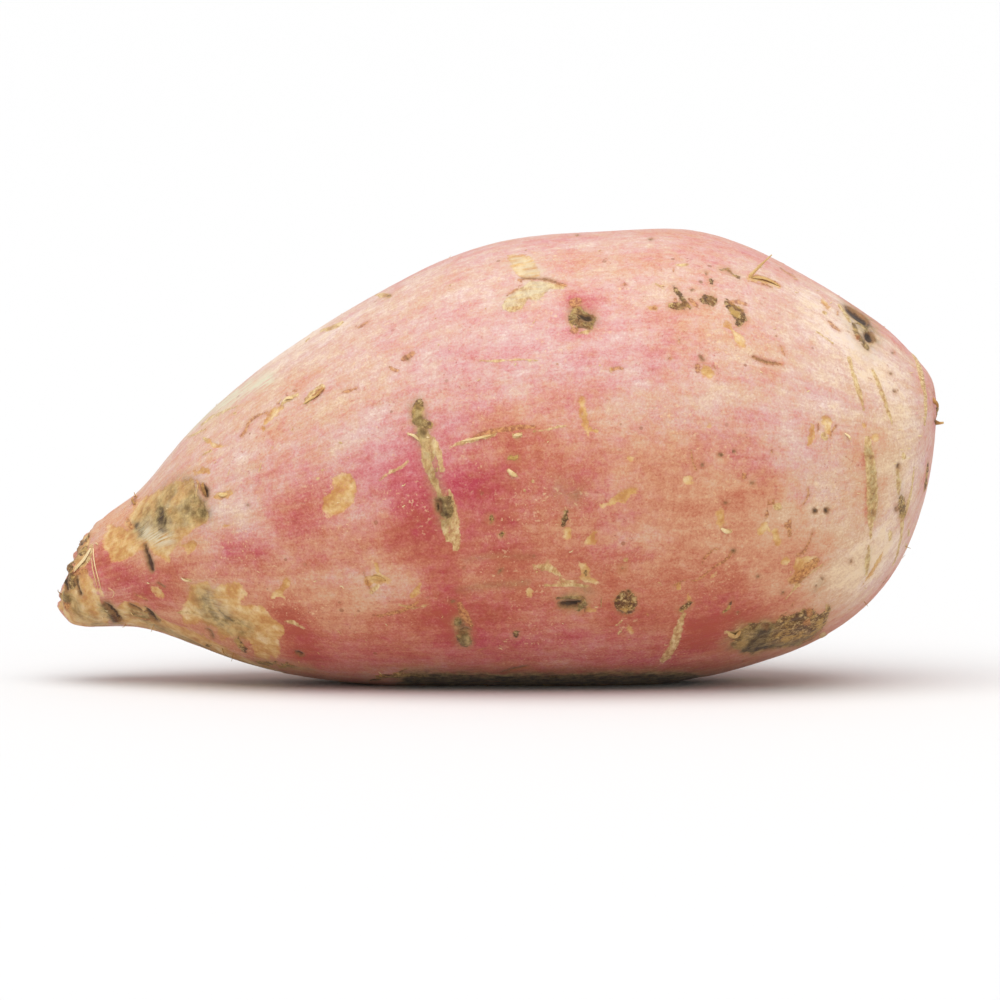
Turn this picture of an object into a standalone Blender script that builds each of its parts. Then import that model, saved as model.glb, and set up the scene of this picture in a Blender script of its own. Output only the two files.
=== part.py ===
"""Sweet potato: one storage root, lying on the small flat spot it grew on.

Blender 4.5 script, metres, +Z up. The length runs along X: the neck, where the vine was broken off,
is at -X, and the blunt tail end with the stub of its tail root is at +X. The origin is on the
resting surface, under the middle of the length.
Run with: blender --background --python part.py
"""

import math

import bmesh
import bpy
import numpy as np
from mathutils import Vector

MM = 0.001

# Driving dimensions, in millimetres.
RING_SIDES = 40          # points around the root
RINGS = 48               # rings from the broken neck to the tail
LOBES = 3                # long, shallow lobes around the root
LOBE_RISE = 0.012        # how far a lobe stands out, as a share of the radius
LOBE_TURN = 1.1          # where the first lobe runs at the neck, as an angle from +Y
LOBE_TWIST = 2.4         # how far the lobes wind round by the tail, as an angle
BREAK_RIM = 1.0          # width of the skin's rim around the broken neck
BREAK_DISH = 0.8         # how deep the broken face has dried in
STUB_REACH = 1.5         # how far the tail root's stub stands out of the tail end
STUB_RADIUS = 0.55       # radius of the stub's tip
SHARP_EDGE = 40.0        # edges bent by more than this many degrees are shaded sharp

# The root's form, station by station from the neck to the tail, in millimetres:
# x and z of the back, x and z of the belly, half the width, and the sideways drift of the axis.
STATIONS = (
    (-75.8, 25.2, -79.8, 14.2, 5.6, 4.1),
    (-73.2, 27.9, -77.9, 11.0, 8.4, 3.8),
    (-69.6, 31.0, -73.6, 9.7, 11.4, 3.3),
    (-65.6, 34.1, -68.4, 9.9, 14.0, 2.7),
    (-59.6, 41.0, -62.4, 9.3, 17.6, 1.9),
    (-52.2, 48.8, -54.0, 6.1, 22.2, 1.1),
    (-42.0, 57.2, -42.4, 2.3, 27.6, 0.2),
    (-27.0, 67.2, -27.0, -0.2, 33.0, -0.5),
    (-12.0, 75.0, -12.0, -1.0, 36.8, -0.7),
    (4.0, 79.6, 4.0, -1.2, 39.0, -0.3),
    (20.0, 81.0, 20.0, -1.1, 39.8, 0.4),
    (34.0, 81.3, 34.0, 0.2, 38.8, 1.1),
    (48.0, 77.2, 48.0, 3.8, 35.6, 1.5),
    (60.0, 70.6, 60.0, 9.2, 29.8, 1.5),
    (69.4, 64.0, 69.4, 18.0, 22.4, 1.3),
    (75.0, 58.2, 75.0, 29.6, 14.6, 1.0),
    (77.6, 54.6, 77.5, 40.2, 7.2, 0.8),
    (78.3, 50.6, 78.3, 48.6, 1.0, 0.7),
)

# The skin's colour, as linear red, green and blue.
SKIN_COLOUR = (0.56, 0.22, 0.17, 1.0)
SKIN_ROUGHNESS = 0.62


def natural_spline(knots, values, at):
    """The natural cubic spline through values at knots: its second derivatives solve a tridiagonal
    system, and are zero at both ends."""
    gaps = np.diff(knots)
    slopes = np.diff(values, axis=0) / gaps[:, None]
    count = len(knots)
    system = np.eye(count)
    right = np.zeros_like(values)
    for i in range(1, count - 1):
        system[i, i - 1:i + 2] = gaps[i - 1], 2 * (gaps[i - 1] + gaps[i]), gaps[i]
        right[i] = 6 * (slopes[i] - slopes[i - 1])
    bends = np.linalg.solve(system, right)
    span = np.clip(np.searchsorted(knots, at, side="right") - 1, 0, count - 2)
    gap = gaps[span][:, None]
    after = (at - knots[span])[:, None]
    before = gap - after
    curve = (bends[span] * before**3 + bends[span + 1] * after**3) / (6 * gap)
    line_start = (values[span] / gap - bends[span] * gap / 6) * before
    line_end = (values[span + 1] / gap - bends[span + 1] * gap / 6) * after
    return curve + line_start + line_end


def ring_forms():
    """The smooth form at each ring, evenly spaced along the outline: rows like those of STATIONS."""
    stations = np.array(STATIONS)
    back_steps = np.hypot(*np.diff(stations[:, 0:2], axis=0).T)
    belly_steps = np.hypot(*np.diff(stations[:, 2:4], axis=0).T)
    knots = np.concatenate([[0.0], np.cumsum((back_steps + belly_steps) / 2)])
    return natural_spline(knots, stations, np.linspace(0.0, knots[-1], RINGS))


def ring_point(form, share, angle):
    """A point of one ring, in metres. The ring is an ellipse between the back and the belly, swollen
    by the lobes, which fade out towards both ends. angle is 0 at +Y and a quarter turn at the back."""
    back_x, back_z, belly_x, belly_z, half_width, drift = form
    fade = math.sin(math.pi * share)
    swell = 1 + LOBE_RISE * fade * math.cos(LOBES * angle + LOBE_TURN + LOBE_TWIST * share)
    up = math.sin(angle) * swell / 2
    x = (back_x + belly_x) / 2 + (back_x - belly_x) * up
    y = drift + half_width * math.cos(angle) * swell
    z = (back_z + belly_z) / 2 + (back_z - belly_z) * up
    return x * MM, y * MM, z * MM


def extrude_rings(mesh):
    """Draws the broken neck's ring, then extrudes ring after ring along the root to its tail. Each
    point remembers its angle, so an extruded copy finds its own place on the next ring."""
    angle_of = mesh.verts.layers.float.new("angle")
    forms = ring_forms()
    first = []
    for i in range(RING_SIDES):
        angle = 2 * math.pi * i / RING_SIDES
        point = mesh.verts.new(ring_point(forms[0], 0.0, angle))
        point[angle_of] = angle
        first.append(point)
    edges = [mesh.edges.new((first[i - 1], first[i])) for i in range(RING_SIDES)]
    neck_ring = list(edges)
    for number, form in enumerate(forms[1:], start=1):
        made = bmesh.ops.extrude_edge_only(mesh, edges=edges)["geom"]
        for point in made:
            if isinstance(point, bmesh.types.BMVert):
                point.co = ring_point(form, number / (RINGS - 1), point[angle_of])
        points = {p for p in made if isinstance(p, bmesh.types.BMVert)}
        edges = [e for e in made if isinstance(e, bmesh.types.BMEdge) and set(e.verts) <= points]
    return neck_ring, edges


def dry_break(mesh, neck_ring):
    """Closes the neck with the broken face, rimmed by the skin and dished where it dried in."""
    face = bmesh.ops.contextual_create(mesh, geom=neck_ring)["faces"][0]
    face.normal_update()
    if face.normal.x > 0:
        face.normal_flip()
    bmesh.ops.inset_region(mesh, faces=[face], thickness=BREAK_RIM * MM, depth=-BREAK_DISH * MM)
    bmesh.ops.poke(mesh, faces=[face])


def draw_out_stub(mesh, tail_ring):
    """Draws the tail's last ring out into the stub of the tail root, and closes it."""
    made = bmesh.ops.extrude_edge_only(mesh, edges=tail_ring)["geom"]
    points = [p for p in made if isinstance(p, bmesh.types.BMVert)]
    centre = sum((p.co for p in points), Vector()) / len(points)
    for point in points:
        outward = (point.co - centre).normalized()
        point.co = centre + outward * STUB_RADIUS * MM
        point.co.x = centre.x + STUB_REACH * MM
    ends = [e for e in made if isinstance(e, bmesh.types.BMEdge) and set(e.verts) <= set(points)]
    bmesh.ops.contextual_create(mesh, geom=ends)


def wear_rest_flat(mesh):
    """Cuts the lowest part of the belly off level, which leaves the small flat spot it rests on."""
    everything = mesh.verts[:] + mesh.edges[:] + mesh.faces[:]
    cut = bmesh.ops.bisect_plane(
        mesh, geom=everything, plane_co=(0, 0, 0), plane_no=(0, 0, 1), clear_inner=True
    )["geom_cut"]
    rim = [e for e in cut if isinstance(e, bmesh.types.BMEdge)]
    bmesh.ops.contextual_create(mesh, geom=rim)


def skin_material():
    """Thin, matt, rose-pink skin."""
    material = bpy.data.materials.new("skin")
    material.use_nodes = True
    shader = material.node_tree.nodes["Principled BSDF"]
    shader.inputs["Base Color"].default_value = SKIN_COLOUR
    shader.inputs["Roughness"].default_value = SKIN_ROUGHNESS
    shader.inputs["Metallic"].default_value = 0.0
    material.diffuse_color = SKIN_COLOUR
    return material


def sweet_potato():
    """The whole root, as one closed solid."""
    mesh = bmesh.new()
    neck_ring, tail_ring = extrude_rings(mesh)
    dry_break(mesh, neck_ring)
    draw_out_stub(mesh, tail_ring)
    wear_rest_flat(mesh)
    bmesh.ops.recalc_face_normals(mesh, faces=mesh.faces[:])
    data = bpy.data.meshes.new("sweet_potato")
    mesh.to_mesh(data)
    mesh.free()
    data.shade_smooth()
    data.set_sharp_from_angle(angle=math.radians(SHARP_EDGE))
    data.materials.append(skin_material())
    root = bpy.data.objects.new("sweet_potato", data)
    bpy.context.scene.collection.objects.link(root)
    return root


for leftover in list(bpy.data.objects):
    bpy.data.objects.remove(leftover)
sweet_potato()
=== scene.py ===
"""The looks of a whole raw sweet potato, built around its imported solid.

Metres, +Z up. The length runs along X: the broken neck is at -X, the tail end at +X, and the root lies
on z = 0. Sizes below are in millimetres, as a grower would give them.
"""

import bpy
import numpy as np
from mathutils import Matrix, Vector


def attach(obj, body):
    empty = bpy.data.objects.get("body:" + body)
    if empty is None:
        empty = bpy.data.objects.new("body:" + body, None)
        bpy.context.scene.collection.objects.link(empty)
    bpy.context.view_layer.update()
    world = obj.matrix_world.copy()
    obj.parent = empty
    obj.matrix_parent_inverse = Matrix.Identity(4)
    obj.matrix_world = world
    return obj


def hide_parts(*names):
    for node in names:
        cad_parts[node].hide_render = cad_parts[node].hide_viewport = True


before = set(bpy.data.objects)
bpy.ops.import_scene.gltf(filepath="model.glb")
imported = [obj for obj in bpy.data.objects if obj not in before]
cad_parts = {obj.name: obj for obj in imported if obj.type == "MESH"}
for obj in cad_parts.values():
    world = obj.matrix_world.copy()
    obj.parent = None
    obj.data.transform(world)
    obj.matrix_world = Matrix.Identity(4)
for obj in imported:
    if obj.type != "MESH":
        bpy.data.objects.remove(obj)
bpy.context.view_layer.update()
MM = 0.001

# ---------------------------------------------------------------------------------------------
# The root's body.
# One storage root, swollen around its own axis from the neck that hung on the vine to the blunt
# tail. Its rings stand square to the axis; three long, shallow lobes wind round it as it grew.

BODY_STATIONS = (
    # x and z of the back, x and z of the belly, half the width, sideways drift of the axis
    (-75.8, 25.2, -79.8, 14.2, 5.6, 4.1),
    (-73.2, 27.9, -77.9, 11.0, 8.4, 3.8),
    (-69.6, 31.0, -73.6, 9.7, 11.4, 3.3),
    (-65.6, 34.1, -68.4, 9.9, 14.0, 2.7),
    (-59.6, 41.0, -62.4, 9.3, 17.6, 1.9),
    (-52.2, 48.8, -54.0, 6.1, 22.2, 1.1),
    (-42.0, 57.2, -42.4, 2.3, 27.6, 0.2),
    (-27.0, 67.2, -27.0, -0.2, 33.0, -0.5),
    (-12.0, 75.0, -12.0, -1.0, 36.8, -0.7),
    (4.0, 79.6, 4.0, -1.2, 39.0, -0.3),
    (20.0, 81.0, 20.0, -1.1, 39.8, 0.4),
    (34.0, 81.3, 34.0, 0.2, 38.8, 1.1),
    (48.0, 77.2, 48.0, 3.8, 35.6, 1.5),
    (60.0, 70.6, 60.0, 9.2, 29.8, 1.5),
    (69.4, 64.0, 69.4, 18.0, 22.4, 1.3),
    (75.0, 58.2, 75.0, 29.6, 14.6, 1.0),
    (77.6, 54.6, 77.5, 40.2, 7.2, 0.8),
    (78.3, 50.6, 78.3, 48.6, 1.0, 0.7),
)
LOBES, LOBE_RISE, LOBE_TURN, LOBE_TWIST = 3, 0.012, 1.1, 2.4
ALONG, AROUND, FACE_ROWS = 286, 332, 12      # rings, points in a ring, rings across the broken face
FRONT_CLOSER = 0.3                           # how much closer the points stand on the marked side
BREAK_DISH = 0.9                             # how deep the broken face has dried in


def spline(knots, values, at):
    """Natural cubic spline: between two knots a cubic, whose second derivatives solve a tridiagonal
    system and are zero at both ends."""
    gaps = np.diff(knots)
    slopes = np.diff(values, axis=0) / gaps[:, None]
    inner = np.arange(1, len(knots) - 1)
    system = np.eye(len(knots))
    system[inner, inner - 1] = gaps[:-1]
    system[inner, inner] = 2 * (gaps[:-1] + gaps[1:])
    system[inner, inner + 1] = gaps[1:]
    right = np.zeros_like(values)
    right[1:-1] = 6 * np.diff(slopes, axis=0)
    bends = np.linalg.solve(system, right)
    span = np.clip(np.searchsorted(knots, at, side="right") - 1, 0, len(gaps) - 1)
    gap, after = gaps[span][:, None], (at - knots[span])[:, None]
    before = gap - after
    arc = (bends[span] * before**3 + bends[span + 1] * after**3) / (6 * gap)
    start = (values[span] / gap - bends[span] * gap / 6) * before
    return arc + start + (values[span + 1] / gap - bends[span + 1] * gap / 6) * after


def body_form(share, angle):
    """Point at share of the length and angle round it: an ellipse between back and belly, times
    1 + rise x sin(pi share) x cos(lobes x angle + turn + twist x share)."""
    stations = np.array(BODY_STATIONS)
    back_steps = np.hypot(*np.diff(stations[:, 0:2], axis=0).T)
    belly_steps = np.hypot(*np.diff(stations[:, 2:4], axis=0).T)
    knots = np.concatenate([[0.0], np.cumsum((back_steps + belly_steps) / 2)])
    rows = spline(knots, stations, share[:, 0] * knots[-1])
    back_x, back_z, belly_x, belly_z, half_width, drift = rows.T[:, :, None]
    wave = np.cos(LOBES * angle + LOBE_TURN + LOBE_TWIST * share)
    swell = 1 + LOBE_RISE * np.sin(np.pi * share) * wave
    up = np.sin(angle) * swell / 2
    x = (back_x + belly_x) / 2 + (back_x - belly_x) * up
    y = drift + half_width * np.cos(angle) * swell
    z = (back_z + belly_z) / 2 + (back_z - belly_z) * up
    return np.stack([x, y, z], axis=-1)


def lumps(points, size, seed):
    """Smooth random heights from -1 to 1: random values on a cubic lattice of the given size, blended
    between its corners by 3t^2 - 2t^3 along each axis."""
    lattice = np.random.default_rng(seed).uniform(-1, 1, (32, 32, 32))
    where = points / size
    cell = np.floor(where).astype(int)
    part = where - cell
    part = part * part * (3 - 2 * part)
    total = np.zeros(points.shape[:-1])
    for corner in np.ndindex(2, 2, 2):
        weight = np.prod(np.where(corner, part, 1 - part), axis=-1)
        x, y, z = ((cell + corner) % 32).reshape(-1, 3).T
        total += weight * lattice[x, y, z].reshape(weight.shape)
    return total


def ramp(value, low, high):
    """0 below low, 1 above high, and 3t^2 - 2t^3 between."""
    part = np.clip((value - low) / (high - low), 0, 1)
    return part * part * (3 - 2 * part)


share = np.linspace(0, 1, ALONG)[:, None]
turn = np.linspace(0, 2 * np.pi, AROUND, endpoint=False)[None, :]
angle = turn + FRONT_CLOSER * np.sin(turn)
rings = body_form(share, angle)
neck_middle = rings[0].mean(axis=0)
reach = np.linspace(0, 1, FACE_ROWS, endpoint=False)[1:, None, None]
face = neck_middle + (rings[0] - neck_middle) * reach + np.array([BREAK_DISH, 0, 0]) * (1 - reach**2)
form = np.concatenate([face, rings])

# The grid as one list of points, with a pole at each end, and the way that the skin faces there.
steps_along = np.gradient(form, axis=0)
steps_round = np.roll(form, -1, axis=1) - np.roll(form, 1, axis=1)
facing = np.cross(steps_round, steps_along)
facing /= np.linalg.norm(facing, axis=-1, keepdims=True)
poles = np.array([neck_middle + [BREAK_DISH, 0, 0], rings[-1].mean(axis=0) + [0.1, 0, 0]])
points = np.concatenate([form.reshape(-1, 3), poles])
facing = np.concatenate([facing.reshape(-1, 3), [[-1, 0, 0], [1, 0, 0]]])

# Growth runs along the root: the first of these is the length from the neck, the others go round.
GROWTH_LENGTH, GROWTH_ROUND = 172.0, 38.0
face_length = np.linspace(-8, 0, FACE_ROWS, endpoint=False)[1:, None]
row_length = np.concatenate([face_length, share * GROWTH_LENGTH]) + 0 * angle
row_turn = np.broadcast_to(angle, row_length.shape)
growth = np.stack([row_length, GROWTH_ROUND * np.cos(row_turn), GROWTH_ROUND * np.sin(row_turn)], axis=-1)
growth = np.concatenate([growth.reshape(-1, 3), [[-8, 0, 0], [GROWTH_LENGTH, 0, 0]]])

# ---------------------------------------------------------------------------------------------
# The marks on the skin.
# Patches where the thin skin rubbed off in digging, corky scabs over old cuts, the pale ring scars of
# feeding roots, rust-brown ticks, and the small hollows where rootlets sat. Each is set down as it is
# seen from one side of the root: how far right, how far up from the table, and half its width.

EYE_DISTANCE, EYE_LIFT = 2400.0, np.radians(4.0)
EYE_AIM = np.array([0.0, 0.0, 33.0])
LIFT_COS, LIFT_SIN = np.cos(EYE_LIFT), np.sin(EYE_LIFT)
SIDES = {
    # what lies to the right, what lies upwards, and the way to the looker
    "front": np.array([(1, 0, 0), (0, LIFT_SIN, LIFT_COS), (0, -LIFT_COS, LIFT_SIN)]),
    "back": np.array([(-1, 0, 0), (0, 0, 1), (0, 1, 0)]),
    "top": np.array([(1, 0, 0), (0, 1, 0), (0, 0, 1)]),
    "under": np.array([(1, 0, 0), (0, -1, 0), (0, 0, -1)]),
    "neck": np.array([(0, -1, 0), (0, 0, 1), (-1, 0, 0)]),
    "tail": np.array([(0, 1, 0), (0, 0, 1), (1, 0, 0)]),
}

BARE_PATCHES = (
    # the neck's shoulder
    ((-65.5, 32.6), (-64.1, 33.5), (-61.7, 34.4), (-59.4, 36.2), (-55.6, 37.1), (-54.4, 33.8),
     (-52.6, 30.8), (-52.9, 29.0), (-55.8, 27.2), (-58.3, 24.8), (-59.6, 22.9), (-59.2, 21.6),
     (-62.1, 22.9), (-63.4, 24.1), (-65.2, 24.1), (-67.7, 21.8), (-69.8, 21.8), (-71.5, 24.5),
     (-71.3, 26.8), (-70.2, 28.8), (-67.1, 27.4), (-67.5, 29.0)),
    ((-57.2, 24.8), (-55.8, 25.6), (-54.5, 25.0), (-55.1, 23.8), (-56.5, 23.0)),
    # the neck's flank
    ((-80.4, 14.9), (-79.2, 16.9), (-77.4, 19.3), (-74.5, 20.9), (-73.4, 18.5), (-71.5, 13.9),
     (-70.6, 11.7), (-69.4, 8.0), (-74.2, 7.6), (-77.0, 8.4), (-80.4, 11.6)),
    # the ridge behind the neck, and the neck's lower edge
    ((-69.4, 12.8), (-68.0, 14.8), (-65.2, 14.2), (-62.6, 12.8), (-60.6, 11.2), (-56.0, 9.6), (-51.0, 7.2),
     (-46.0, 4.6), (-42.0, 2.6), (-44.0, 0.8), (-52.0, 3.4), (-60.0, 7.6), (-66.0, 9.8), (-69.0, 10.6)),
    # the lower flank
    ((-56.2, 15.3), (-55.8, 17.6), (-52.6, 18.4), (-51.7, 16.7), (-48.8, 18.2), (-46.8, 18.0),
     (-45.5, 16.0), (-46.8, 14.0), (-42.8, 14.0), (-41.0, 11.9), (-38.5, 9.4), (-39.8, 7.6),
     (-39.6, 4.9), (-41.8, 4.0), (-43.6, 4.5), (-45.0, 7.0), (-47.2, 8.3), (-49.7, 7.7), (-51.5, 9.5),
     (-54.0, 11.0), (-55.8, 10.1), (-57.4, 11.0), (-57.6, 12.8)),
    # the back of the shoulder
    ((-30.4, 36.9), (-28.3, 37.8), (-27.0, 37.6), (-26.3, 36.5), (-25.7, 34.7), (-26.6, 32.4),
     (-28.4, 30.8), (-31.0, 29.7), (-32.0, 31.1), (-31.7, 33.1), (-30.2, 34.9)),
    # the crown
    ((1.3, 76.7), (2.7, 77.2), (5.2, 76.5), (6.8, 74.9), (7.6, 72.9), (5.8, 72.7), (3.6, 73.1),
     (2.2, 74.3)),
    ((36.4, 57.1), (38.0, 56.9), (38.9, 55.3), (38.0, 54.7), (36.5, 54.9), (35.6, 56.2)),
    # the belly, star-shaped
    ((53.3, 22.7), (55.8, 22.7), (57.2, 22.7), (57.4, 21.8), (55.1, 19.6), (54.0, 19.1), (53.6, 17.5),
     (51.5, 18.7), (52.7, 19.6), (52.9, 21.4)),
)
BARE_STROKES = (
    ((-51.5, 33.5, 0.27), (-50.0, 33.8, 0.54), (-48.6, 34.2, 0.36)),
    ((-55.1, 38.0, 0.36), (-53.6, 38.3, 0.54), (-52.7, 38.2, 0.27)),
    ((-49.5, 28.3, 0.36), (-49.1, 28.3, 0.36)),
    ((-62.5, 16.9, 0.54), (-61.6, 16.4, 0.72), (-60.8, 15.7, 0.36)),
    ((-71.8, 16.7, 0.45), (-71.5, 16.0, 0.36)),
    ((-38.5, 18.0, 0.72), (-39.6, 16.2, 0.72), (-40.7, 15.5, 0.45)),
    ((-38.9, 15.3, 0.27), (-38.7, 15.1, 0.27)),
    ((-39.4, 49.7, 0.36), (-41.0, 48.6, 0.72), (-42.3, 47.2, 0.54)),
    ((-42.8, 45.9, 0.45), (-42.7, 45.9, 0.45)),
    ((-52.6, 43.7, 0.22), (-51.3, 42.5, 0.27), (-49.0, 43.0, 0.22)),
    ((-23.4, 18.5, 0.9), (-22.0, 18.9, 1.08), (-20.3, 18.4, 0.45)),
    ((-22.3, 21.1, 0.36), (-22.0, 20.2, 0.36)),
    ((-14.4, 17.6, 0.36), (-15.1, 16.4, 0.72), (-15.8, 15.7, 0.36)),
    ((5.2, 16.6, 0.72), (5.2, 16.2, 0.72)),
    ((14.6, 51.5, 0.27), (14.8, 50.0, 0.54), (15.1, 48.2, 0.81), (15.5, 46.4, 0.81), (15.8, 44.6, 0.36)),
    ((16.9, 45.5, 0.45), (17.1, 45.4, 0.45)), ((12.2, 27.0, 0.81), (12.2, 26.5, 0.81)),
    ((16.9, 27.0, 0.54), (16.6, 25.7, 0.9), (15.5, 25.2, 0.54)),
    ((23.4, 40.3, 0.45), (23.6, 40.3, 0.45)),
    ((18.5, 31.9, 0.27), (20.2, 32.4, 0.45), (21.6, 33.5, 0.81), (23.0, 34.2, 0.9), (24.3, 34.6, 0.54)),
    ((22.5, 32.6, 0.45), (22.7, 32.8, 0.45)),
    ((33.1, 36.4, 0.36), (34.2, 36.9, 0.54), (34.2, 36.0, 0.36)),
    ((15.8, 13.1, 0.22), (16.6, 13.0, 0.32), (17.1, 12.8, 0.18)),
    ((14.4, 18.9, 0.54), (15.8, 18.5, 0.72), (16.9, 18.2, 0.54)),
    ((23.4, 9.7, 0.63), (23.4, 9.2, 0.63)), ((32.2, 17.5, 0.41), (32.2, 17.1, 0.41)),
    ((33.8, 15.8, 0.36), (34.2, 14.6, 0.27)),
    ((39.6, 30.6, 0.9), (39.8, 29.3, 0.81), (39.6, 28.3, 0.54)),
    ((46.8, 27.2, 0.72), (47.7, 28.1, 0.72)), ((49.3, 27.4, 0.54), (50.0, 25.6, 0.81)),
    ((56.3, 46.1, 0.54), (56.2, 45.0, 0.54), (55.8, 43.6, 0.36), (55.4, 43.0, 0.27)),
    ((58.5, 47.0, 0.99), (59.0, 46.8, 0.9)), ((58.9, 45.5, 0.72), (58.9, 45.2, 0.72)),
    ((51.1, 10.6, 0.54), (52.2, 11.0, 0.54), (54.0, 11.5, 0.54)),
    ((45.9, 8.5, 0.54), (46.4, 7.7, 0.36)), ((40.9, 9.2, 0.36), (42.1, 8.6, 0.54), (43.2, 9.4, 0.36)),
    ((58.1, 68.6, 0.36), (59.2, 67.7, 0.45)), ((65.5, 46.6, 0.45), (65.5, 46.3, 0.45)),
    ((67.3, 44.3, 0.54), (67.5, 44.1, 0.54)), ((40.9, 64.3, 0.63), (41.6, 63.7, 0.45)),
    ((42.3, 62.6, 0.63), (43.4, 61.0, 0.81)), ((27.2, 67.3, 0.36), (27.9, 67.3, 0.36)),
    ((38.3, 19.3, 0.27), (38.9, 19.8, 0.27)), ((37.4, 46.1, 0.36), (37.6, 46.1, 0.36)),
    ((51.1, 22.0, 0.5), (51.5, 22.0, 0.5)),
    ((44.8, 72.7, 0.45), (47.7, 72.4, 0.63), (50.0, 71.5, 0.54)),
)
CORK_PATCHES = (
    # the great scab of the belly
    ((42.1, 6.1), (41.6, 6.8), (43.6, 9.4), (44.8, 10.6), (48.8, 10.6), (51.3, 12.1), (53.5, 13.0),
     (56.2, 13.7), (56.9, 12.2), (58.3, 13.0), (59.4, 14.2), (59.2, 12.8), (58.5, 10.4), (56.7, 7.9),
     (53.8, 6.5), (49.9, 6.1), (47.7, 6.1), (45.2, 5.0), (44.3, 5.6)),
    # the crown's scab
    ((13.3, 67.7), (14.2, 68.0), (15.1, 67.0), (16.6, 66.4), (17.3, 65.7), (16.7, 63.7), (14.9, 63.9),
     (13.9, 63.5), (12.4, 65.0), (12.4, 66.1)),
    ((36.7, 69.7), (37.6, 70.0), (39.1, 68.8), (38.9, 67.9), (38.0, 67.5), (36.4, 68.2), (36.0, 68.8)),
    ((30.1, 68.2), (32.4, 68.4), (33.5, 67.9), (33.1, 67.1), (31.5, 67.1), (30.4, 67.3)),
)
CORK_STROKES = (
    ((-74.5, 24.5, 0.45), (-75.2, 23.4, 0.54), (-76.3, 22.3, 0.45), (-76.7, 21.6, 0.36)),
    ((-73.8, 26.6, 0.27), (-74.7, 25.6, 0.27)),
    ((-63.9, 13.5, 0.36), (-63.2, 12.4, 0.45), (-62.5, 11.5, 0.54), (-61.7, 11.0, 0.36)),
    ((-47.3, 7.6, 0.54), (-46.6, 6.5, 0.63), (-45.9, 5.8, 0.45)),
    ((-39.6, 2.7, 0.36), (-38.5, 3.2, 0.63), (-37.3, 2.9, 0.36)),
    ((-43.6, 3.6, 0.36), (-41.8, 3.2, 0.54), (-40.3, 3.6, 0.36)),
    ((-52.7, 6.5, 0.36), (-52.4, 6.5, 0.36)),
    ((-14.6, 50.2, 0.81), (-14.9, 48.8, 0.99), (-14.8, 47.3, 0.99)),
    ((-13.3, 46.6, 0.81), (-13.0, 46.6, 0.81)), ((-9.9, 32.2, 1.44), (-9.7, 31.1, 1.44)),
    ((-6.7, 8.1, 1.08), (-6.3, 7.4, 1.08)), ((-7.6, 11.2, 0.54), (-7.6, 10.6, 0.54)),
    ((2.9, 9.0, 0.45), (2.9, 8.6, 0.45)), ((-23.4, 0.5, 0.22), (-18.9, 1.4, 0.32), (-17.1, 2.2, 0.22)),
    ((11.9, 30.8, 0.4), (11.7, 29.3, 0.45), (11.3, 28.4, 0.22)),
    ((10.4, 15.2, 0.2), (13.6, 15.0, 0.5), (15.4, 14.6, 0.7), (14.2, 12.9, 0.3)),
    ((15.5, 19.8, 0.32), (15.5, 19.4, 0.32)), ((22.5, 14.4, 1.98), (22.7, 14.4, 1.98)),
    ((32.6, 13.0, 0.32), (33.3, 13.7, 0.45), (34.2, 14.4, 0.32)),
    ((64.6, 65.0, 0.36), (66.1, 64.3, 0.36)),
    ((63.7, 64.8, 0.36), (64.3, 62.8, 0.54), (65.2, 61.6, 0.63), (66.1, 60.5, 0.45)),
    ((79.0, 51.5, 0.54), (79.2, 49.5, 0.54), (78.8, 49.0, 0.36), (78.3, 48.1, 0.27)),
    ((72.0, 33.1, 0.72), (72.2, 32.0, 0.72), (72.4, 30.2, 0.54)),
    ((31.3, 71.3, 0.27), (32.2, 69.8, 0.45), (33.1, 68.4, 0.4), (34.2, 67.5, 0.22)),
    ((41.0, 67.9, 0.72), (42.5, 66.6, 1.08), (43.4, 65.5, 0.9), (42.8, 64.4, 0.45)),
    ((40.7, 68.8, 0.32), (40.7, 68.4, 0.32)), ((38.0, 72.2, 0.23), (38.0, 71.8, 0.23)),
    ((39.6, 74.2, 0.18), (40.9, 74.2, 0.32), (41.8, 73.4, 0.27), (42.8, 72.9, 0.18)),
    ((-1.6, 29.7, 0.45), (-1.6, 29.2, 0.45)), ((0.4, 26.8, 0.32), (0.4, 26.6, 0.32)),
    ((1.8, 40.5, 0.36), (2.9, 40.5, 0.36)),
)
SCAR_PATCHES = (
    # peeling film of the crown
    ((11.7, 71.5), (11.5, 70.7), (9.0, 70.9), (8.1, 70.0), (7.0, 68.9), (5.0, 68.9), (4.0, 67.5),
     (2.2, 66.6), (0.7, 67.0), (0.2, 67.9), (1.4, 69.5), (3.8, 71.3), (5.9, 72.4), (8.6, 72.2)),
)
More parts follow.
